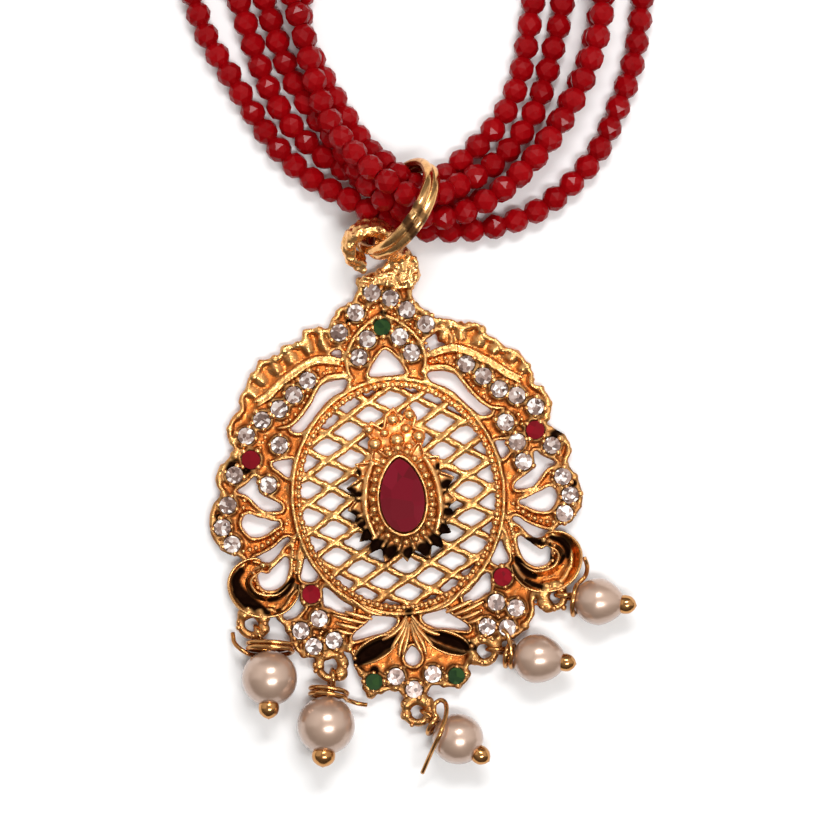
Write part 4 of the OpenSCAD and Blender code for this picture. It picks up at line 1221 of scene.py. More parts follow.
        # until it has a seed, noise_vector takes its offsets from the clock
        noise.seed_set(4)
        for k in range(-9, 10):
            for way in (-1, 1):
                x0, y0 = self.lattice_shift, 2 * k * self.lattice_step[1]
                dx, dy = math.cos(rise), way * math.sin(rise)
                qa = (dx / a) ** 2 + (dy / b) ** 2
                qb = 2 * (x0 * dx / a ** 2 + y0 * dy / b ** 2)
                qc = (x0 / a) ** 2 + (y0 / b) ** 2 - 1
                if qb * qb <= 4 * qa * qc:
                    continue
                spread = math.sqrt(qb * qb - 4 * qa * qc) / (2 * qa)
                start, end = -qb / (2 * qa) - spread, -qb / (2 * qa) + spread
                count = max(3, round((end - start) / 0.8))
                path: list[Point] = []
                for i in range(count + 1):
                    t = start + (end - start) * i / count
                    x, y = x0 + t * dx, y0 + t * dy
                    sway = noise.noise_vector(Vector((x * 0.3, y * 0.3, 4.0 * way))) * 0.16
                    path.append((x + sway.x, y + sway.y, 0.78 + 0.06 * way + sway.z * 0.5))
                bars.append(Rail(path, self.bar_radius))
        blank.add_rails(bars)
        for m in range(-9, 10):
            for k in range(-5, 6):
                if (m + k) % 2:
                    continue
                x, y = self.lattice_shift + k * self.lattice_step[0], m * self.lattice_step[1]
                if (x / a) ** 2 + (y / b) ** 2 < 0.95:
                    blank.add_ball((x, y, 0.85), 0.7, 0.62)
        blank.fuse(voxel=0.14, lump=0.15, lump_size=0.85)
        blank.keep_above(0.0)
        blank.finish("casting_lattice", gold, Slot.GOLD, ["pendant_casting"])

    def build_rosette(self, gold: Material) -> None:
        """Builds the rosette: spiky flange, crest, collar and granules round the pear-shaped stone.

        Args:
            gold: its finish.
        """
        blank = Blank()
        rosette = Rosette()
        blank.add_plate(rosette.flange, bottom=0.9, top=1.75, edge=0.15)
        blank.add_plate(rosette.crest, bottom=0.9, top=1.5, edge=0.15)
        middle = Vector((*rosette.pear_centre, 0.0))
        ribs: list[Rail] = []
        for i, p in enumerate(rosette.flange):
            tip = Vector((*p, 0.0))
            away = (tip - middle).length
            inward = min((tip - Vector((*q, 0.0))).length for q in rosette.pear(0.6))
            if i % 2 == 0 or inward < 1.2:
                continue
            root = min(((tip - Vector((*q, 0.0))).length, q) for q in rosette.pear(0.5))[1]
            dip = ((root[0] + p[0]) / 2, (root[1] + p[1]) / 2, 1.9)
            radius = 0.3 if away < 6 else 0.34
            ribs.append(Rail(smooth([(*root, 2.5), dip, (*p, 2.15)], 3), radius, ends=0.75))
        blank.add_rails(ribs)
        blank.add_lines([beside(rosette.flange, 0.1, closed=True)], Line(0.22, 1.9), closed=True)
        blank.add_lines([rosette.crest], Line(0.3, 1.5), closed=True)
        blank.add_rails([Rail(rosette.pear(0.28), 0.24, height, closed=True)
                         for height in (2.0, 2.4, 2.8, 3.1)])
        for side in (slice(7, 19), slice(30, 42)):
            blank.add_lines([rosette.pear(2.1)[side]], Line(0.5, 2.1, 0.4))
        blank.fuse(voxel=0.14, lump=0.07, lump_size=0.9)
        # painted shade in the rosette's pockets and in a ring round the stone
        blank.darken(self.rosette_shaded_pits, top=2.35)
        blank.darken([(x, y, 0.5) for x, y in rosette.pear(0.95, 36)], top=2.6, strength=0.25)
        blank.finish("casting_rosette", gold, Slot.GOLD, ["pendant_casting"])

    def build_scrolls(self, gold: Material) -> None:
        """Builds the polished concave bands of the C-scrolls and the palmette's two leaves, with painted dark
        reflections along them.

        Args:
            gold: its finish.
        """
        blank = Blank()
        channel = ((-1, -0.7), (1, -0.7), (1.03, 0.2), (0.95, 0.38), (0.84, 0.34), (0.62, -0.05),
                   (0.34, -0.3), (0, -0.38), (-0.34, -0.3), (-0.62, -0.05), (-0.84, 0.34), (-0.95, 0.38),
                   (-1.03, 0.2))
        scrolls = [Rail(line, 1.6, 1.6, ends=0.3) for line in self.both((self.scroll,))]
        leaves = [Rail(line, 1.45, 1.6, ends=0.2) for line in self.both((self.leaf,))]
        blank.add_rails([*scrolls, *leaves], profile=channel)
        for side in (-1, 1):
            blank.add_ball((side * 17.6, -7.1, 1.5), 0.5, detail=3)
        blank.outward()
        long_edges = [e for e in blank.bm.edges if e.calc_length() > 0.3]
        bmesh.ops.subdivide_edges(blank.bm, edges=long_edges, cuts=2, use_grid_fill=True)
        # painted dark reflections along the polished channels
        blank.darken(self.shadows(), top=2.1)
        blank.finish("casting_scrolls", gold, Slot.GOLD, ["pendant_casting"])


@dataclass
class Rosette:
    """The centre's outlines."""

    flange: Path = (
        (0.4, 5.8), (-0.8, 5), (-2.5, 6.5), (-3.1, 4.6), (-5, 4.5), (-4.5, 2.7), (-6.3, 1.6), (-5.2, 0.2),
        (-6.4, -1.2), (-5.3, -2), (-5.9, -3.1), (-4.6, -3.6), (-5.3, -5.2), (-3.7, -5.1), (-4.6, -7),
        (-2.6, -6.2), (-2.4, -8.1), (-0.6, -6.8), (0.4, -8.2), (1.5, -6.8), (3.3, -8.2), (3.6, -6.3),
        (5.3, -7.2), (4.7, -5.2), (6.2, -5.1), (5.5, -3.7), (7, -2.9), (6.1, -1.9), (7.3, -1), (6.1, 0.3),
        (7.2, 1.8), (5.4, 2.7), (5.6, 4.6), (3.9, 4.6), (3.3, 6.8), (1.6, 5))
    crest: Path = (
        (-2, 5), (-3.1, 6.2), (-2.6, 7.4), (-3.6, 8.6), (-2.5, 9.4), (-1.1, 8.4), (-0.6, 10.2), (0.4, 11),
        (1.2, 9.4), (2.3, 11.2), (3, 9.6), (2.6, 8.4), (4, 7.8), (3.5, 6.4), (2.6, 5))
    crest_balls: Path = (
        (-2.3, 6.7, 0.8), (0.5, 7, 0.85), (3.2, 7.2, 0.75), (-2.9, 8.6, 0.55), (0.2, 9.6, 0.7),
        (2.3, 10, 0.65), (-1, 8, 0.5), (1.7, 8.3, 0.55), (-0.8, 5.9, 0.5), (1.9, 6, 0.5))
    pear_centre: Point = (0.5, 0.1)
    pear_reach: Point = (3.05, 4.6)
    pear_slim: float = 0.3

    def pear(self, grow: float, sides: int = 48) -> list[Point]:
        """The pear outline, grown all round.

        Args:
            grow: how far it is grown.
            sides: how many points it has.

        Returns:
            Its points.
        """
        across, up = self.pear_reach[0] + grow, self.pear_reach[1] + 1.3 * grow
        turns = [math.tau * k / sides for k in range(sides)]
        return [(self.pear_centre[0] + across * math.sin(a) * math.sin(a / 2) ** self.pear_slim,
                 self.pear_centre[1] + up * math.cos(a)) for a in turns]

    def build_stone(self, material: Material) -> None:
        """Builds the pear-shaped stone: a step-cut dome with a flat table.

        Args:
            material: its finish.
        """
        blank = Blank()
        outline = self.pear(-0.02, 24)
        face = blank.bm.faces.new([blank.bm.verts.new((x, y, 3.3)) for x, y in outline])
        blank.bm.normal_update()
        if face.normal.z < 0:
            face.normal_flip()
        for inset, lift in ((0.03, 0.6), (0.42, 0.42), (0.5, 0.38), (0.3, 0.12)):
            bmesh.ops.inset_region(blank.bm, faces=[face], thickness=inset, depth=lift, use_even_offset=True)
        blank.outward()
        blank.finish("centre_stone", material, Slot.RUBY, ["centre_ruby"], shade_smooth=False)


@dataclass
class Bail:
    """The bail: a root on the casting and a hammered strap that curls over the ring.

    Attributes:
        root: the outline of the root.
        tongue: the outline of the flat tongue under the curl.
        centre: the middle of the curl.
        tip: how far the curl's axis is tipped about x and about y, in degrees.
        start: where the curl starts, in degrees.
        sweep: the angle that it runs through, in degrees.
        radius: its radius.
        thickness: the strap's thickness.
        height: the strap's width.
        foot: where the web between root and curl starts.
        grains: how many granules are strewn over the root.
    """

    root: Path = (
        (-2.6, 26.6), (-2.4, 27.3), (-1.5, 27.9), (0.6, 28.6), (1.5, 29.8), (2.6, 31), (3.9, 31),
        (4.6, 29.5), (5.2, 28.2), (5.3, 27.2), (4.6, 26.5), (4.1, 25.5))
    tongue: Path = (
        (3.3, 29.9), (3.4, 31), (2.7, 31.9), (1.7, 32.5), (0.5, 32.7), (-0.8, 32.6), (-2, 32.1),
        (-2.4, 31.4), (-1.8, 30.7), (-0.8, 30.4), (0.6, 30.3), (1.9, 30.2))
    centre: Point = (-0.6, 31.3, 5.4)
    tip: Point = (38, 6)
    start: float = -30
    sweep: float = 285
    radius: float = 2.72
    thickness: float = 1.5
    height: float = 2.6
    foot: Point = (3.2, 29.9, 1.4)
    grains: int = 60

    def build(self, gold: Material) -> None:
        """Builds the root, the web and the curl as one cast skin.

        Args:
            gold: its finish.
        """
        blank = Blank()
        blank.add_plate(self.root, bottom=0.15, top=2.15, edge=0.3)
        blank.add_plate(self.tongue, bottom=0.3, top=1.3, edge=0.2)
        h, t = self.height / 2, self.thickness / 2
        section = [(self.radius + x, z) for x, z in (
            (-t, -h + 0.25), (-t + 0.25, -h), (t - 0.25, -h), (t, -h + 0.25), (t + 0.08, 0), (t, h - 0.25),
            (t - 0.25, h), (-t + 0.25, h), (-t, h - 0.25))]
        place = (Matrix.Translation(self.centre) @ (turned(self.tip[1], "Y") @ turned(self.tip[0], "X"))
                 @ turned(self.start, "Z"))
        blank.add_spin(section, place, 40, math.radians(self.sweep))
        head = place @ Vector((self.radius, 0.0, 0.0))
        for share in (0.0, 0.15, 0.3, 0.45, 0.6, 0.75, 0.9, 1.0):
            blank.add_ball(Vector(self.foot).lerp(head, share), 1.05 - 0.3 * share)
        rng = random.Random(5)
        for _ in range(self.grains):
            x, y = rng.uniform(-2.2, 5), rng.uniform(26.4, 30.8)
            if self.inside(x, y):
                blank.add_ball((x, y, 2.05), rng.uniform(0.25, 0.45))
        blank.fuse(voxel=0.16, lump=0.26, lump_size=0.62)
        blank.keep_above(0.0)
        blank.finish("bail_strap", gold, Slot.GOLD, ["pendant_casting"])

    def inside(self, x: float, y: float) -> bool:
        """Whether a place lies inside the root's outline.

        Args:
            x: the place's x.
            y: the place's y.

        Returns:
            True inside, False outside.
        """
        hit = False
        for (x0, y0), (x1, y1) in zip(self.root, [*self.root[1:], self.root[0]]):
            if (y0 > y) != (y1 > y) and x < x0 + (y - y0) / (y1 - y0) * (x1 - x0):
                hit = not hit
        return hit


@dataclass
class Ring:
    """The double-grooved ring that the strands run through.

    Attributes:
        centre: its middle.
        turn: how far it is turned on the table, in degrees.
        lean: how far it is tipped up from lying flat, in degrees.
        radius: from its middle to its section's middle.
        ridge: the radius of each ridge.
        half_gap: half the distance between the ridges.
        dark_reflections: angle, reach in degrees and depth of the painted dark reflections.
    """

    centre: Point = (3.33, 35.49, 6.6)
    turn: float = 52.1
    lean: float = 65
    radius: float = 6.25
    ridge: float = 0.66
    half_gap: float = 0.57
    dark_reflections: Path = ((-84, 6, 0.85), (-103, 8, 0.95), (-122, 8, 0.3))

    def build(self, gold: Material) -> None:
        """Builds the ring by turning its double-ridged section.

        Args:
            gold: its finish.
        """
        blank = Blank()
        place = Matrix.Translation(self.centre) @ turned(self.turn, "Z") @ turned(-self.lean, "X")
        touch = math.degrees(math.acos(self.half_gap / self.ridge))
        section: list[Point] = []
        for centre, first in ((self.half_gap, 180 + touch), (-self.half_gap, touch)):
            for k in range(13):
                a = math.radians(first + k * (360 - 2 * touch) / 12)
                section.append((self.radius - self.ridge * math.sin(a), centre + self.ridge * math.cos(a)))
        blank.add_spin(section, place, 144)
        back = place.inverted()
        # painted dark reflections across the ring at the listed angles
        layer = blank.bm.verts.layers.float.new("hollow")
        for v in blank.bm.verts:
            at = back @ v.co
            angle = math.degrees(math.atan2(at.y, at.x))
            v[layer] = max(depth * min(1.0, max(0.0, 1.8 - 1.8 * ((angle - middle - 4 * at.z) / reach) ** 2))
                           for middle, reach, depth in self.dark_reflections)
        blank.outward()
        blank.finish("ring", gold, Slot.GOLD, ["bail_ring"])


# the stones


@dataclass
class SmallStones:
    """Round cut stones: a foot in the cup, a girdle, slanting facets and a flat table.

    Attributes:
        sides: how many facets go round.
        girdle: the girdle's height over the plate.
        table: the table's height over the plate.
    """

    sides: int = 10
    girdle: float = 0.5
    table: float = 1.12

    def add(self, blank: Blank, place: Point, radius: float, turn: float) -> None:
        """Adds one stone.

        Args:
            blank: the piece in the making.
            place: the stone's x and y.
            radius: its radius.
            turn: how far it is turned, in radians.
        """
        bm = blank.bm
        at = Matrix.Translation((*place, PLATE_TOP + self.girdle)) @ Matrix.Rotation(turn, 4, "Z")
        ring = bmesh.ops.create_circle(bm, cap_ends=True, segments=self.sides, radius=radius - 0.03,
                                       matrix=at)
        face = next(f for f in ring["verts"][0].link_faces)
        if face.normal.z < 0:
            face.normal_flip()
        rise, middle = self.table - self.girdle, Vector((*place, 0.0))
        crown = bmesh.ops.inset_region(bm, faces=[face], thickness=radius * 0.22, depth=rise * 0.6)
        twist = (Matrix.Translation(middle) @ Matrix.Rotation(math.pi / self.sides, 4, "Z")
                 @ Matrix.Translation(-middle))
        bmesh.ops.transform(bm, matrix=twist, verts=face.verts)
        star = bmesh.ops.inset_region(bm, faces=[face], thickness=radius * 0.2, depth=rise * 0.4)
        bmesh.ops.triangulate(bm, faces=[*crown["faces"], *star["faces"]])
        foot = at @ Matrix.Translation((0.0, 0.0, -self.girdle / 2))
        bmesh.ops.create_cone(bm, segments=self.sides, radius1=radius * 0.4, radius2=radius - 0.03,
                              depth=self.girdle - 0.1, cap_ends=True, matrix=foot)

    def build(self, name: str, node: str, places: Path, radius: float, material: Material,
              slot: Slot) -> None:
        """Builds a field of stones as one piece.

        Args:
            name: the piece's name.
            node: the solid or field of solids that it replaces.
            places: x and y of each stone.
            radius: the stones' radius.
            material: their finish.
            slot: the record's slot they stand for.
        """
        blank = Blank()
        rng = random.Random(name)
        for place in places:
            self.add(blank, place, radius, rng.uniform(0, 1))
        blank.finish(name, material, slot, [node], shade_smooth=False)


# the drops


@dataclass(frozen=True)
class Winding:
    """The turns of wire round a drop's pin.

    Attributes:
        first: where they begin along the pin.
        last: where they end.
        wide: their half width.
        high: their half height at the first place and at the last.
        start: the angle at which they begin, in degrees.
        whole: the angle that they run through, in degrees.
    """

    first: float
    last: float
    wide: float
    high: tuple[float, float]
    start: float
    whole: float


@dataclass(frozen=True)
class Drop:
    """One pearl drop.

    Attributes:
        loop: its row of LOOPS.
        turn: how far it is turned on the table, in degrees.
        reach: from the loop's centre to the pearl's, along the pin.
        pearl: the pearl's radius.
        cap: the end cap's radius.
        winding: the turns of its wire.
        tail: the loose end's points.
        blemish: how far the pearl is from round.
        stretch: how far its end at the loop and its end at the cap are drawn out.
        taper: how much slimmer it gets towards the cap.
        swing: how far the turns, the pearl and the cap are turned about the pearl's centre, in degrees.
        loop_mid: height of the middle of the loops, where the pin starts.
        wire: the wire's radius.
        eye_radius: radius of the eye that runs through the loop.
        eye_open: half of the angle that the eye leaves open, in degrees.
        eye_sides: where the eye's start and end lie, across the pin.
        steps: steps in one turn of the wire.
    """

    loop: Point
    turn: float
    reach: float
    pearl: float
    cap: float
    winding: Winding
    tail: Path
    blemish: float = 0.03
    stretch: tuple[float, float] = (1.0, 1.0)
    taper: float = 0.0
    swing: float = 0.0
    loop_mid: float = 1.45
    wire: float = 0.3
    eye_radius: float = 1.1
    eye_open: float = 15
    eye_sides: tuple[float, float] = (0.55, -0.15)
    steps: int = 12

    def slope(self) -> float:
        """The pin's slope up from the table."""
        return math.asin((self.pearl - self.loop_mid) / self.reach)

    def place(self) -> Matrix:
        """Where the drop lies: x runs along its pin from the loop's centre."""
        return (Matrix.Translation((*self.loop[:2], self.loop_mid)) @ turned(self.turn, "Z")
                @ Matrix.Rotation(-self.slope(), 4, "Y"))

    def swung(self, point: Point) -> Point:
        """A point of the drop turned about the pearl's centre."""
        x, y, a = point[0] - self.reach, point[1], math.radians(self.swing)
        return (self.reach + x * math.cos(a) - y * math.sin(a), x * math.sin(a) + y * math.cos(a), point[2])

    def pearl_place(self) -> Matrix:
        """Where the pearl lies on the pin: z runs away from the loop."""
        return Matrix.Translation((self.reach, 0, 0)) @ turned(self.swing, "Z") @ turned(90, "Y")

    def winding_path(self) -> list[Point]:
        """The turns of wire round the pin.

        Returns:
            Its points in the drop's own place.
        """
        turns = self.winding
        count = round(turns.whole / 360 * self.steps)
        out: list[Point] = []
        for k in range(count + 1):
            part = k / count
            a = math.radians(turns.start + part * turns.whole)
            high = turns.high[0] + part * (turns.high[1] - turns.high[0])
            out.append(self.swung((turns.first + part * (turns.last - turns.first), turns.wide * math.cos(a),
                                   high * math.sin(a))))
        return out

    def wire_path(self) -> list[Point]:
        """The whole wire: tail, turns, eye and pin.

        Returns:
            Its points in the drop's own place.
        """
        mid = (self.loop[2] + self.loop[3]) / 2
        band, low = mid * math.cos(self.slope()), mid * math.sin(self.slope())
        turns = self.winding_path()
        eye: list[Point] = []
        for k in range(self.steps + 1):
            part = k / self.steps
            a = math.radians(self.eye_open + part * (360 - 2 * self.eye_open))
            eye.append((band + self.eye_radius * math.cos(a),
                        self.eye_sides[0] + part * (self.eye_sides[1] - self.eye_sides[0]),
                        self.eye_radius * math.sin(a) - low))
        return [
            *smooth([*self.tail, turns[0]], 3), *turns[1:],
            self.swung((self.winding.last - 0.08, 0.42, -0.88 * self.winding.high[1])),
            (band + self.eye_radius + 0.05, 0.6, -0.5 - low), *eye,
            (band + self.eye_radius + 0.12, -0.08, -0.5 * low), (band + self.eye_radius + 0.42, 0, -0.04),
            self.swung((self.reach - self.pearl + 0.2, 0, 0)),
            self.swung((self.reach + self.pearl + 0.3, 0, 0)),
        ]

    def build_wire(self, name: str, node: str, gold: Material) -> None:
        """Builds the wire and its round end cap.

        Args:
            name: the piece's name.
            node: the solid that it replaces.
            gold: its finish.
        """
        blank = Blank()
        rounded = smooth(self.wire_path(), 3)
        blank.add_rails([Rail(rounded, self.wire, ends=0.9)], 3)
        profile = smooth([(self.pearl + x, 1.12 * self.cap * r)
                          for x, r in ((-0.4, 0.8), (-0.2, 0.97), (0.4, 1), (0.95, 0.86), (1.4, 0.5))], 3)
        section = [(0.001, profile[0][0]), *((r, x) for x, r in profile), (0.001, self.pearl + 1.7)]
        blank.add_spin(section, self.pearl_place(), 24)
        bmesh.ops.remove_doubles(blank.bm, verts=blank.bm.verts, dist=0.004)
        blank.outward()
        bmesh.ops.transform(blank.bm, matrix=self.place(), verts=blank.bm.verts)
        blank.finish(name, gold, Slot.GOLD, [node])

    def build_pearl(self, name: str, node: str, material: Material) -> None:
        """Builds the drilled pearl, a little out of round.

        Args:
            name: the piece's name.
            node: the solid that it replaces.
            material: its finish.
        """
        blank = Blank()
        bm = blank.bm
        bmesh.ops.create_uvsphere(bm, u_segments=40, v_segments=24, radius=self.pearl)
        drill(bm, self.pearl, 0.4)
        blank.outward()
        for v in bm.verts:
            if math.hypot(v.co.x, v.co.y) > 0.5:
                v.co *= 1 - self.blemish + self.blemish * noise.noise(v.co / 3.0 + Vector((self.turn, 0, 0)))
                slim = 1 - self.taper * max(0.0, v.co.z / self.pearl)
                v.co.x *= slim
                v.co.y *= slim
            v.co.z *= self.stretch[v.co.z > 0]
        bmesh.ops.transform(bm, matrix=self.place() @ self.pearl_place(), verts=bm.verts)
        blank.finish(name, material, Slot.PEARL, [node])


DROPS = (
    Drop(LOOPS[0], -76.8, 7.35, 3.5, 1.15, Winding(4.2, 2.75, 2.8, (2.25, 1.6), 180, 810),
         ((0.27, -2.7, -0.3), (1.55, -2.85, -0.1), (2.75, -2.3, 0.2)), blemish=0.01, swing=-18.4),
    Drop(LOOPS[1], -99.6, 7.56, 3.65, 1.3, Winding(4.1, 2.8, 2.3, (2.2, 1.6), 0, 630),
         ((4.4, 4.9, -0.8), (4.3, 3.8, -0.9), (4.15, 2.9, -0.6)), blemish=0.01),
    Drop(LOOPS[2], -39.5, 6.3, 3.25, 1.05, Winding(2.85, 2.75, 1.6, (1.6, 1.6), 60, 210),
         ((5, -6, 0), (4.95, -4.1, 1.3), (5, -2.1, 2.95), (4.9, -0.3, 3.6), (3.9, 1.8, 2.5),
          (2.9, 2.8, 1.6), (2, 2.8, 1.2), (1.7, 2, 1.3), (2.2, 1.2, 1.6)), blemish=0.02),
    Drop(LOOPS[3], -12.5, 7.04, 3.2, 1, Winding(4, 2.85, 1.55, (1.9, 1.5), 90, 540),
         ((2.4, 3, 1.7), (3.1, 2.6, 1.9), (3.7, 1.4, 2.1)), stretch=(1.04, 1.1), taper=0.12),
    Drop(LOOPS[4], -10.5, 6, 2.95, 1.05, Winding(3, 2.6, 2, (1.75, 1.65), 0, 270),
         ((3.7, 5.3, 1.2), (4, 4.2, 0.4), (3.7, 3, -0.4)), blemish=0.0, stretch=(1.17, 1.06), taper=0.22),
)


# the strands

ON_TABLE = 1.5
BACK_MIDDLE = 8.3


@dataclass(frozen=True)
class Route:
    """The middle line of one string of beads, as a loop that is open at the clasp.

    Attributes:
        back: its left part, from the clasp down, which the right part mirrors.
        front: the rest, from the left round through the ring. Points without a height lie on the table.
    """

    back: Path
    front: Path

    def path(self) -> list[Point]:
        """The whole line, from the left of the clasp round to its right."""
        home = [(round(2 * BACK_MIDDLE - x, 1), y) for x, y in reversed(self.back)]
        return [p if len(p) > 2 else (*p, ON_TABLE) for p in (*self.back, *self.front, *home)]


ROUTES = (
    Route(((2.7, 221.4), (-12, 218.3), (-24.7, 209.2), (-33.9, 195.5), (-39.2, 179.5), (-41.1, 163),
           (-40.3, 142), (-37.2, 119), (-32, 99), (-26, 82.5)),
          ((-20.8, 68), (-18.9, 60), (-16.3, 54.6), (-13.8, 49.5), (-11, 44.5), (-7, 40.2, 1.7),
           (-3, 37.6, 3.3), (0.7, 34.9, 4.4), (4.9, 33.1, 2.2), (9.6, 32.4), (14.9, 32.4), (20.1, 33.7),
           (24.9, 36.7), (28.8, 40.6), (31.6, 45.6), (34, 50.8), (35.6, 57), (37.6, 67))),
    Route(((2.7, 214.5), (-9.2, 212), (-19.7, 204.5), (-27.7, 192.5), (-32.5, 178), (-34.2, 162.5),
           (-33.5, 142.5), (-30.5, 120.5), (-25.5, 101.4), (-19.7, 85.2)),
          ((-12.3, 68), (-10.3, 60), (-9, 54.5), (-6.9, 49.8, 1.6), (-4.6, 46.2, 2.7), (-1.7, 41.8, 4.8),
           (0.2, 38.1, 6.9), (3.1, 35.6, 6.6), (6.2, 34.3, 5.3), (9.3, 33.9, 4.4), (14.4, 35.6, 4.6),
           (18.9, 38.7, 4.6), (22.9, 42.6, 4.6), (26.2, 47.1, 4.6), (28.9, 52.1, 4.6), (30.8, 57.9, 4.6),
           (30.7, 64.1, 4.1), (32, 72, 1.8))),
    Route(((2.7, 211), (-7.8, 208.8), (-17.2, 202.1), (-24.6, 191), (-29.1, 177.3), (-30.8, 162.3),
           (-30.1, 142.8), (-27.2, 121.2), (-22.3, 102.6)),
          ((-16.5, 86.6), (-9.5, 71, 1.8), (-8.2, 65.5, 3.9), (-6.8, 60, 4.6), (-5.9, 54, 4.5),
           (-4.9, 48.9, 5.1), (-2.6, 44.2, 7.2), (1.1, 39.9, 9.3), (5, 36.5, 8.9), (7.8, 36.6, 7.6),
           (10.1, 37.5, 5.3), (14.3, 39.3, 2.7), (18.3, 42.4, 1.6), (21.7, 46.9), (23.7, 52.1),
           (25.8, 58.3), (27.8, 68), (33, 86.6))),
    Route(((2.7, 207.6), (-6.4, 205.7), (-14.7, 199.8), (-21.5, 189.5), (-25.8, 176.5), (-27.3, 162.1),
           (-26.7, 143.2), (-23.8, 122), (-19, 103.8), (-13.4, 88)),
          ((-5.6, 71), (-6.8, 60), (-5, 54), (-2.8, 49), (-0.1, 43.7, 2), (2.5, 41.1, 5.2), (5, 38.3, 6),
           (7.1, 38, 4.1), (9.4, 39.4, 1.8), (13.4, 42.3), (17.4, 46.1), (20.1, 51.3), (22.2, 59.2),
           (24.6, 68))),
    Route(((2.7, 218), (-10.6, 215.2), (-22.2, 206.9), (-30.8, 194), (-35.9, 178.7), (-37.6, 162.8),
           (-36.9, 142.2), (-33.8, 119.8), (-28.7, 100.2), (-22.9, 83.8)),
          ((-15.6, 68), (-13.5, 60), (-11.7, 52.7), (-9.3, 47.6), (-5.7, 43.3), (-1.7, 40.4, 2),
           (2.1, 37.7, 4.1), (6, 36, 1.7), (9.6, 35.6), (14.3, 35.9), (19, 38.8), (22.7, 42.8),
           (25.9, 47.3), (28.6, 52.2), (30.4, 57.5), (34.4, 68.9))),
)


@dataclass
class Strand:
    """One string of cut beads on its thread.

    Attributes:
        number: its number, from one on.
        radius: the beads' radius.
        pitch: the distance from bead to bead.
        bore: the radius of the holes.
        thread_radius: the thread's radius.
        sides: how many facets go round a bead.
        into_clasp: how far the thread runs into the clasp.
    """

    number: int
    radius: float = 1.64
    pitch: float = 2.82
    bore: float = 0.28
    thread_radius: float = 0.22
    sides: int = 8
    into_clasp: float = 1.2

    def bead(self) -> bpy.types.Mesh:
        """Makes one drilled bead with slanting facets, its bore along z.

        Returns:
            The bead's mesh.
        """
        bm = bmesh.new()
        bmesh.ops.create_uvsphere(bm, u_segments=self.sides, v_segments=6, radius=self.radius)
        belts = [v for v in bm.verts if 0.45 * self.radius < abs(v.co.z) < 0.55 * self.radius]
        half_step = Matrix.Rotation(math.pi / self.sides, 3, "Z")
        bmesh.ops.rotate(bm, cent=(0, 0, 0), matrix=half_step, verts=belts)
        drill(bm, self.radius, self.bore, 0.49 * self.pitch)
        bmesh.ops.triangulate(bm, faces=bm.faces)
        bmesh.ops.recalc_face_normals(bm, faces=bm.faces)
        mesh = bpy.data.meshes.new("bead")
        bm.to_mesh(mesh)
        bm.free()
        return mesh

    def build(self, glass: Material, thread: Material) -> None:
        """Builds the string's beads and its thread.

        Args:
            glass: the beads' finish.
            thread: the thread's finish.
        """
        node = f"strand_{self.number}"
        route = smooth(ROUTES[self.number - 1].path(), 8)
        rng = random.Random(self.number)
        bead = self.bead()
        blank = Blank()
        tone = blank.bm.verts.layers.float.new("tone")
        places = spaced(route, self.pitch)
        for i in range(len(places) - 1):
            middle = (places[i] + places[i + 1]) / 2
            along = (places[i + 1] - places[i]).normalized()
            spin = Matrix.Rotation(rng.uniform(0, math.tau), 4, "Z")
            size = Matrix.Diagonal((*(rng.uniform(0.97, 1.0) for _ in range(2)), 1.0, 1.0))
            aim = along.to_track_quat("Z", "Y").to_matrix().to_4x4()
            lie = Matrix.Translation(middle) @ aim @ spin @ size
            before = len(blank.bm.verts)
            blank.bm.from_mesh(bead)
            blank.bm.verts.ensure_lookup_table()
            fresh = blank.bm.verts[before:]
            bmesh.ops.transform(blank.bm, matrix=lie, verts=fresh)
            shade = rng.random() * 0.4
            for v in fresh:
                v[tone] = shade
        blank.finish(f"beads_{self.number}", glass, Slot.BEAD, [node], shade_smooth=False)
        first, last = route[0], route[-1]
        ends = [(first[0] + self.into_clasp, *first[1:]), *route, (last[0] - self.into_clasp, *last[1:])]
        cord = Blank()
        cord.add_rails([Rail(ends, self.thread_radius)], 1)
        cord.finish(f"thread_{self.number}", thread, Slot.BEAD, [node])


@dataclass
class Clasp:
    """The plain clasp at the back: a rounded box with a seam and a beaded rim."""

    centre: Point = (BACK_MIDDLE, 214.5)
    length: float = 10.0
    width: float = 18.0
    thickness: float = 3.0
    corner: float = 1.5

    def outline(self, grow: float) -> list[Point]:
        """The rounded oblong, grown all round.

        Args:
            grow: how far it is grown.

        Returns:
            Its points.
        """
        out: list[Point] = []
        for cx, cy, first in ((1, 1, 0), (-1, 1, 90), (-1, -1, 180), (1, -1, 270)):
            for k in range(7):
                a = math.radians(first + 15 * k)
                out.append(polar(self.centre[0] + cx * (self.length / 2 - self.corner),
                                 self.centre[1] + cy * (self.width / 2 - self.corner), self.corner + grow, a))
        return out

    def build(self, gold: Material) -> None:
        """Builds the two halves, the seam between them and the beaded rim on top.

        Args:
            gold: its finish.
        """
        blank = Blank()
        seam = self.thickness / 2
        blank.add_plate(self.outline(0.0), bottom=0.0, top=seam - 0.08, edge=0.3)
        blank.add_plate(self.outline(-0.15), bottom=seam - 0.2, top=seam + 0.2, edge=0.05)
        blank.add_plate(self.outline(0.0), bottom=seam + 0.08, top=self.thickness, edge=0.35)
        for place in spaced(self.outline(-1.1), 1.0, closed=True):
            blank.add_ball(place + Vector((0.0, 0.0, self.thickness - 0.1)), 0.35)
        blank.finish("clasp_box", gold, Slot.GOLD, ["clasp"])


# the studio


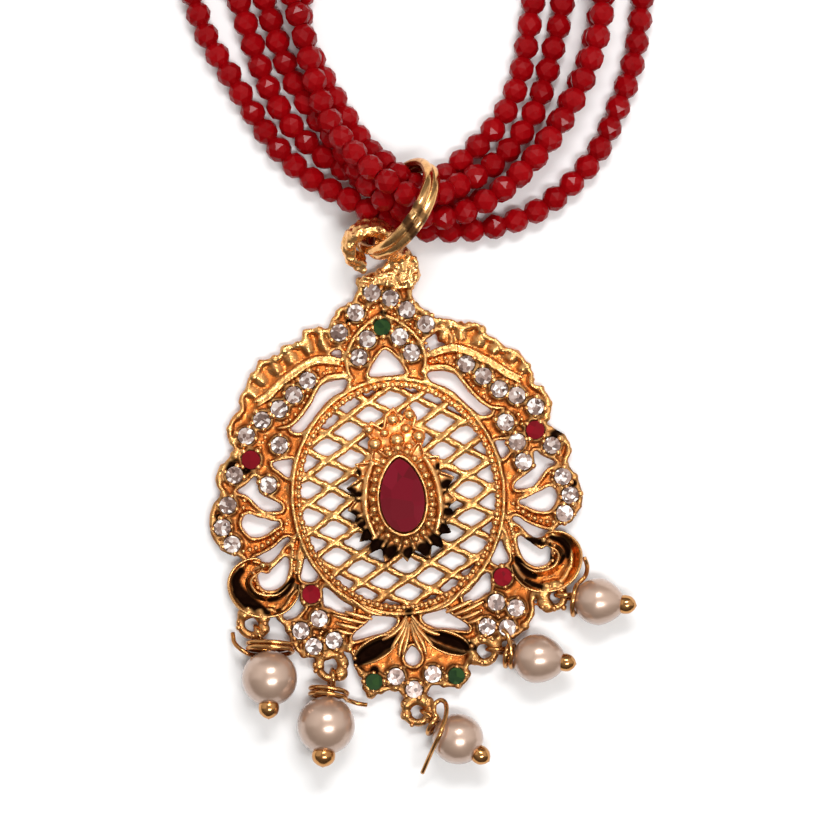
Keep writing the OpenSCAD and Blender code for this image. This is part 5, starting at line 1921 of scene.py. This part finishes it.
@dataclass(frozen=True)
class SoftLight:
    """A soft light over the picture's middle.

    Attributes:
        name: its name.
        lean: degrees from straight above towards the top of the picture.
        side: degrees from straight above towards the right.
        size: width and height of its face in metres.
        power: its power in watts.
        away: its distance in metres.
    """

    name: str
    lean: float
    side: float
    size: tuple[float, float]
    power: float
    away: float = 0.55

    def build(self, aim: Point) -> None:
        """Adds the light, turned to the place that it lights.

        Args:
            aim: the place, in metres.
        """
        data = bpy.data.lights.new(self.name, "AREA")
        data.shape = "RECTANGLE"
        data.size, data.size_y = self.size
        data.energy = self.power
        up = turned(self.side, "Y") @ turned(-self.lean, "X")
        lamp = staged(self.name, data)
        lamp.matrix_world = Matrix.Translation(aim) @ up @ Matrix.Translation((0, 0, self.away))


LIGHTS = (
    SoftLight("key", 32, 10, (0.22, 0.1), 1.35),
    SoftLight("low_key", -15, 10, (0.28, 0.09), 1.5),
    SoftLight("left_fill", 30, -55, (0.9, 0.9), 1.3, 0.8),
    SoftLight("right_fill", 15, 55, (0.9, 0.9), 1.3, 0.8),
)


@dataclass
class Studio:
    """The pale table, the soft lights and the camera straight above.

    Attributes:
        look_at: the picture's middle.
        turn: how far the camera is turned, in degrees.
        frame_width: the width that the picture shows.
        distance: the camera's distance.
    """

    look_at: Point = (2.90, 10.05)
    turn: float = -5.2
    frame_width: float = 103.5
    distance: float = 450.0

    def build_floor(self) -> None:
        """Builds the pale table top."""
        bm = bmesh.new()
        bmesh.ops.create_grid(bm, x_segments=8, y_segments=8, size=1.5)
        mesh = bpy.data.meshes.new("table_top")
        bm.to_mesh(mesh)
        bm.free()
        mesh.materials.append(TableFinish("pale_table").build())
        floor = staged("table_top", mesh)

    def build_world(self) -> None:
        """Builds the room: bright overhead, most past the picture's top, and dim towards its walls."""
        world = bpy.data.worlds.new("room")
        bpy.context.scene.world = world
        world.use_nodes = True
        tree = Tree(world.node_tree)
        where = tree.add("ShaderNodeSeparateXYZ", {0: tree.add("ShaderNodeTexCoord").outputs["Generated"]})
        height = tree.add("ShaderNodeMath", {0: where.outputs["Y"], 1: 0.3, 2: where.outputs["Z"]},
                          operation="MULTIPLY_ADD", use_clamp=True)
        colour = tree.ramp(height.outputs[0], ((0.0, (0.11, 0.1, 0.09)), (0.45, (0.19, 0.175, 0.16)),
                                                (0.8, (0.33, 0.32, 0.31)), (1.0, (0.42, 0.41, 0.4))))
        back = next(n for n in world.node_tree.nodes if n.type == "BACKGROUND")
        tree.feed(back, {"Color": colour, "Strength": 1.0})

    def aim(self, height: float = 0.0) -> Point:
        """The picture's middle, in metres, at a height in millimetres."""
        x, y = (place - middle for place, middle in zip(self.look_at, WHOLE_CENTRE))
        return (x * MM, y * MM, height * MM)

    def build_camera(self) -> None:
        """Adds the camera, straight above the picture's middle."""
        data = bpy.data.cameras.new("camera")
        data.lens = data.sensor_width * self.distance / self.frame_width
        data.clip_start, data.clip_end = 0.01, 10.0
        camera = staged("camera", data)
        camera.matrix_world = Matrix.Translation(self.aim(self.distance + ON_TABLE)) @ turned(self.turn, "Z")
        bpy.context.scene.camera = camera

    def build(self) -> None:
        """Builds the studio."""
        self.build_floor()
        self.build_world()
        for light in LIGHTS:
            light.build(self.aim())
        self.build_camera()
        bpy.context.scene.view_settings.view_transform = "Standard"


def main() -> None:
    """Builds the necklace and its studio, piece by piece."""
    logging.basicConfig(level=logging.INFO, format="%(name)s: %(message)s")
    GROUPS["cast_grain"] = cast_grain_group()
    GROUPS["depth_tone"] = depth_shading_group()
    # each gold finish paints shade into its low, recessed places with its deep colour and highlights onto its
    # raised tops with its light colour
    cast_gold = GoldFinish("cast_gold", low=1.12, high=1.75).build()
    # painted highlight: the granules and raised lines get a lighter gold than the frame
    bright_gold = GoldFinish("bright_gold", light=(0.95, 0.52, 0.2), low=0.6, high=1.3, grain=0.12).build()
    lattice_gold = GoldFinish("lattice_gold", deep=(0.58, 0.18, 0.035), light=(0.8, 0.43, 0.15), low=0.3,
                              high=1.15, grain=0.4).build()
    polished = GoldFinish("polished_gold", deep=(0.46, 0.22, 0.085), light=(0.92, 0.52, 0.2), low=1.0,
                          high=2.0, roughness=(0.16, 0.3), grain=0.06, lump=2.0).build()
    # painted shade: the ring's colour darkens towards its lower side, with painted dark reflections
    ring_gold = GoldFinish("ring_gold", deep=(0.46, 0.16, 0.035), light=(0.88, 0.49, 0.19), low=1.0,
                           high=11.0, hollow=(0.05, 0.016, 0.006), roughness=(0.12, 0.2), grain=0.04).build()
    rosette_gold = GoldFinish("rosette_gold", light=(0.92, 0.5, 0.19), low=0.9, high=2.3, grain=0.12).build()
    bail_gold = GoldFinish("hammered_gold", deep=(0.6, 0.24, 0.045), light=(0.95, 0.52, 0.2), low=0.6,
                           high=2.4, roughness=(0.18, 0.36), grain=0.45, lump=0.55).build()
    wire_gold = GoldFinish("wire_gold", deep=(0.6, 0.24, 0.05), light=(0.86, 0.46, 0.17), low=0.2, high=3.5,
                           roughness=(0.12, 0.22), grain=0.1, lump=1.5).build()
    white = StoneFinish("white_stone", ((0.08, (0.09, 0.04, 0.025)), (0.4, (0.3, 0.18, 0.14)),
                                        (0.7, (0.52, 0.4, 0.35)), (0.92, (1.0, 0.95, 0.9))),
                        glint_size=0.42, metallic=0.2, coat=0.7).build()
    red = StoneFinish("red_stone", ((0.1, (0.15, 0.001, 0.005)), (0.9, (0.25, 0.002, 0.01))),
                      glint_size=0.9, roughness=0.4, coat=0.0, gloss=0.04).build()
    pear = StoneFinish("pear_stone", ((0.1, (0.12, 0.0008, 0.006)), (0.9, (0.18, 0.0015, 0.012))),
                       glint_size=2.2, roughness=0.4, coat=0.0, gloss=0.05).build()
    green = StoneFinish("green_stone", ((0.1, (0.008, 0.03, 0.006)), (0.9, (0.024, 0.065, 0.012))),
                        glint_size=0.8, roughness=0.35, coat=0.0, gloss=0.05).build()
    pearl = PearlFinish("pearl_gloss").build()
    bead_glass = BeadFinish("bead_glass").build()
    thread = BeadFinish("dyed_thread", dark=(0.08, 0.002, 0.004), bright=(0.16, 0.004, 0.008),
                        roughness=0.7).build()

    casting = Casting()
    casting.build_frame(cast_gold)
    casting.build_lattice(lattice_gold)
    casting.build_rosette(rosette_gold)
    casting.build_scrolls(polished)
    casting.build_beading(bright_gold)
    Bail().build(bail_gold)
    Ring().build(ring_gold)
    Rosette().build_stone(pear)
    stones = SmallStones()
    for part, places in WHITE_STONES.items():
        stones.build(f"whites_{part}", f"white_stones_{part}", places, WHITE_RADIUS, white, Slot.CLEAR)
    for i, place in enumerate(RED_STONES, 1):
        stones.build(f"red_{i}", f"red_stone_{i}", [place], RED_RADIUS, red, Slot.RUBY)
    for i, place in enumerate(GREEN_STONES, 1):
        stones.build(f"green_{i}", f"green_stone_{i}", [place], GREEN_RADIUS, green, Slot.GREEN)
    for i, drop in enumerate(DROPS, 1):
        drop.build_pearl(f"drop_pearl_{i}", f"pearl_{i}", pearl)
        drop.build_wire(f"wire_{i}", f"drop_wire_{i}", wire_gold)
    for number in range(1, len(ROUTES) + 1):
        Strand(number).build(bead_glass, thread)
    Clasp().build(polished)
    Studio().build()


if __name__ == "__main__":
    main()
